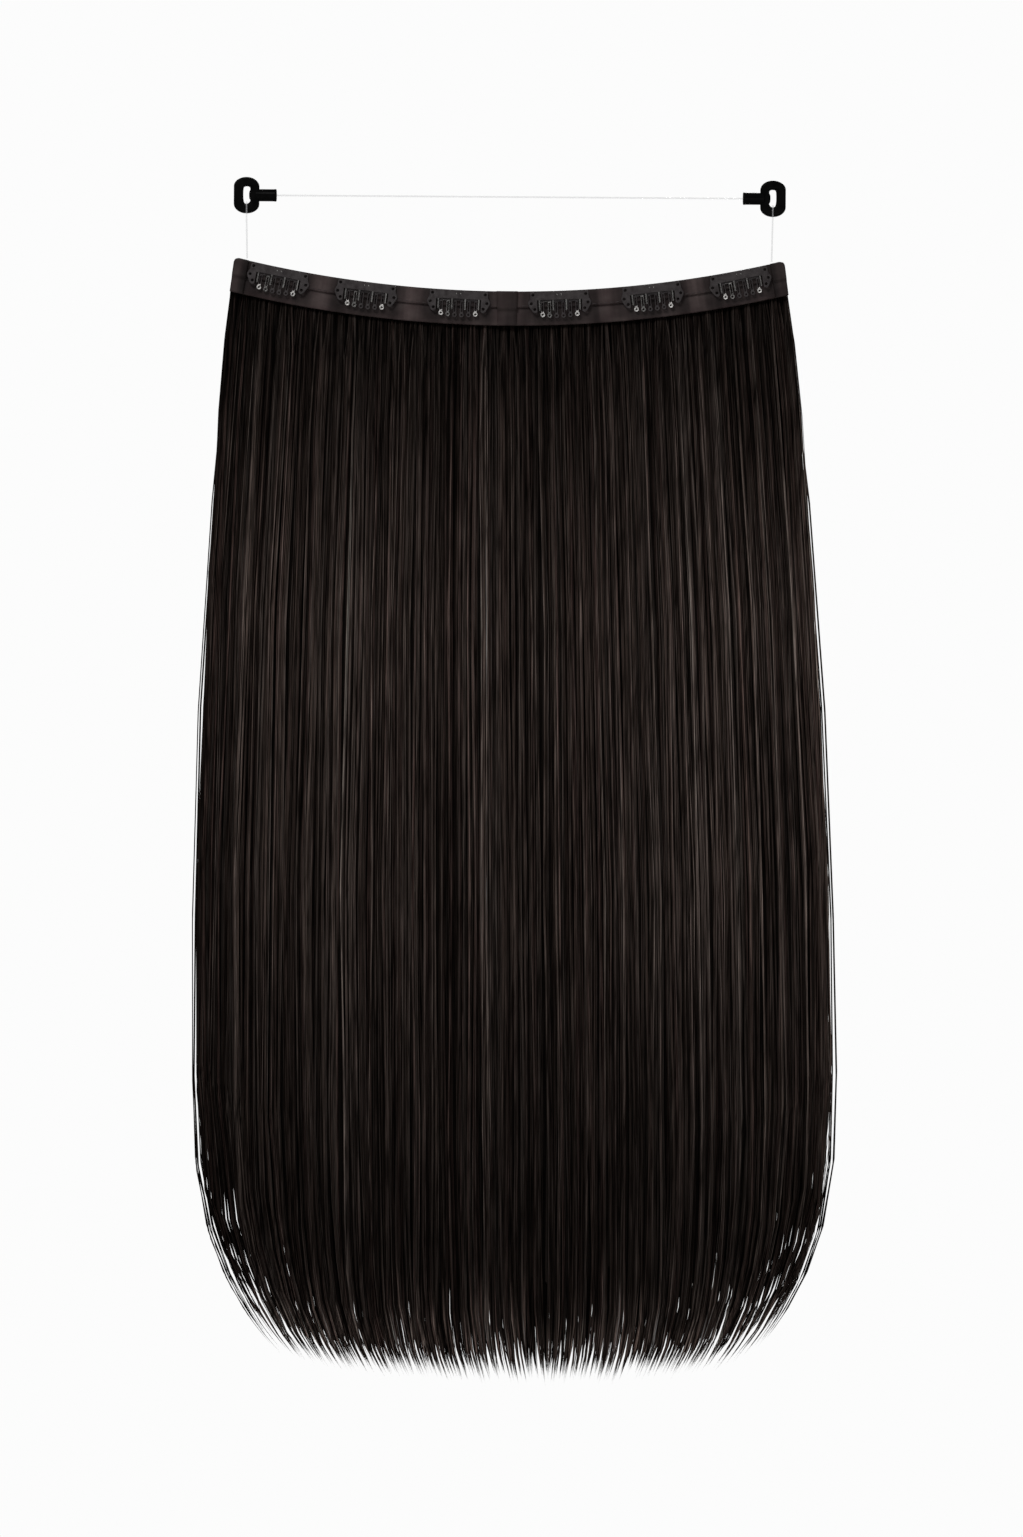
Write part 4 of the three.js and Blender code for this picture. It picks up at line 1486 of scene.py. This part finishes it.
def add_hair():
    rng = np.random.default_rng(SEED)
    wisps = wisp_table(rng)
    wisps["partings"] = parting_table(np.random.default_rng(PARTING_SEED), wisps["wisps"])
    material = strand_material()
    for depth_word, front in (("front", True), ("back", False)):
        groups = {**wisps, **bundle_table(rng)}
        for side, side_word in ((-1, "left"), (1, "right")):
            paths, tones = strand_paths(rng, groups, side, front)
            add_strands(f"hair_{depth_word}_{side_word}", paths, tones, rng, material)
    add_core()


# Soft studio light: a lamp as a panel turned towards a point
def area_light(name, place, target, width, height, power):
    data = bpy.data.lights.new(name, "AREA")
    data.shape = "RECTANGLE"
    data.size = width * MM
    data.size_y = height * MM
    data.energy = power
    lamp = add_object(name, data)
    lamp.location = Vector(place) * MM
    aim = (Vector(target) - Vector(place)).normalized()
    lamp.rotation_mode = "QUATERNION"
    lamp.rotation_quaternion = aim.to_track_quat("-Z", "Y")


# Pale background for the camera, with a dimmer even light from all round
def add_world():
    world = bpy.data.worlds.new("studio")
    bpy.context.scene.world = world
    world.use_nodes = True
    nodes = world.node_tree.nodes
    links = world.node_tree.links
    seen = nodes["Background"]
    seen.inputs["Color"].default_value = (BACKGROUND, BACKGROUND, BACKGROUND, 1)
    light = nodes.new("ShaderNodeBackground")
    light.inputs["Color"].default_value = (AMBIENT, AMBIENT, AMBIENT, 1)
    path = nodes.new("ShaderNodeLightPath")
    mix = nodes.new("ShaderNodeMixShader")
    links.new(path.outputs["Is Camera Ray"], mix.inputs["Fac"])
    links.new(light.outputs["Background"], mix.inputs[1])
    links.new(seen.outputs["Background"], mix.inputs[2])
    links.new(mix.outputs["Shader"], nodes["World Output"].inputs["Surface"])


def add_floor():
    material, _, _ = mottled_material(
        "pale_floor", color=(0.88, 0.88, 0.87), roughness=0.7, specular=0.2, scale=[40] * 3, detail=4,
        low=(0.86, 0.86, 0.85), high=(0.90, 0.90, 0.89),
    )
    rim = []
    for k in range(FLOOR_SIDES):
        turn = 2 * math.pi * k / FLOOR_SIDES
        y = FLOOR_MIDDLE_Y + FLOOR_RADIUS * math.sin(turn)
        rim.append((FLOOR_RADIUS * math.cos(turn), y, FLOOR_Z))
    floor = new_object("floor", rim, [tuple(range(FLOOR_SIDES))])
    floor.data.materials.append(material)


def add_stage():
    add_world()
    add_floor()
    for lamp in LAMPS:
        area_light(*lamp)
    bpy.context.scene.view_settings.view_transform = "Standard"


add_camera()
add_wires()
add_ribbons()
add_clips()
add_eyelets()
add_hair()
add_stage()
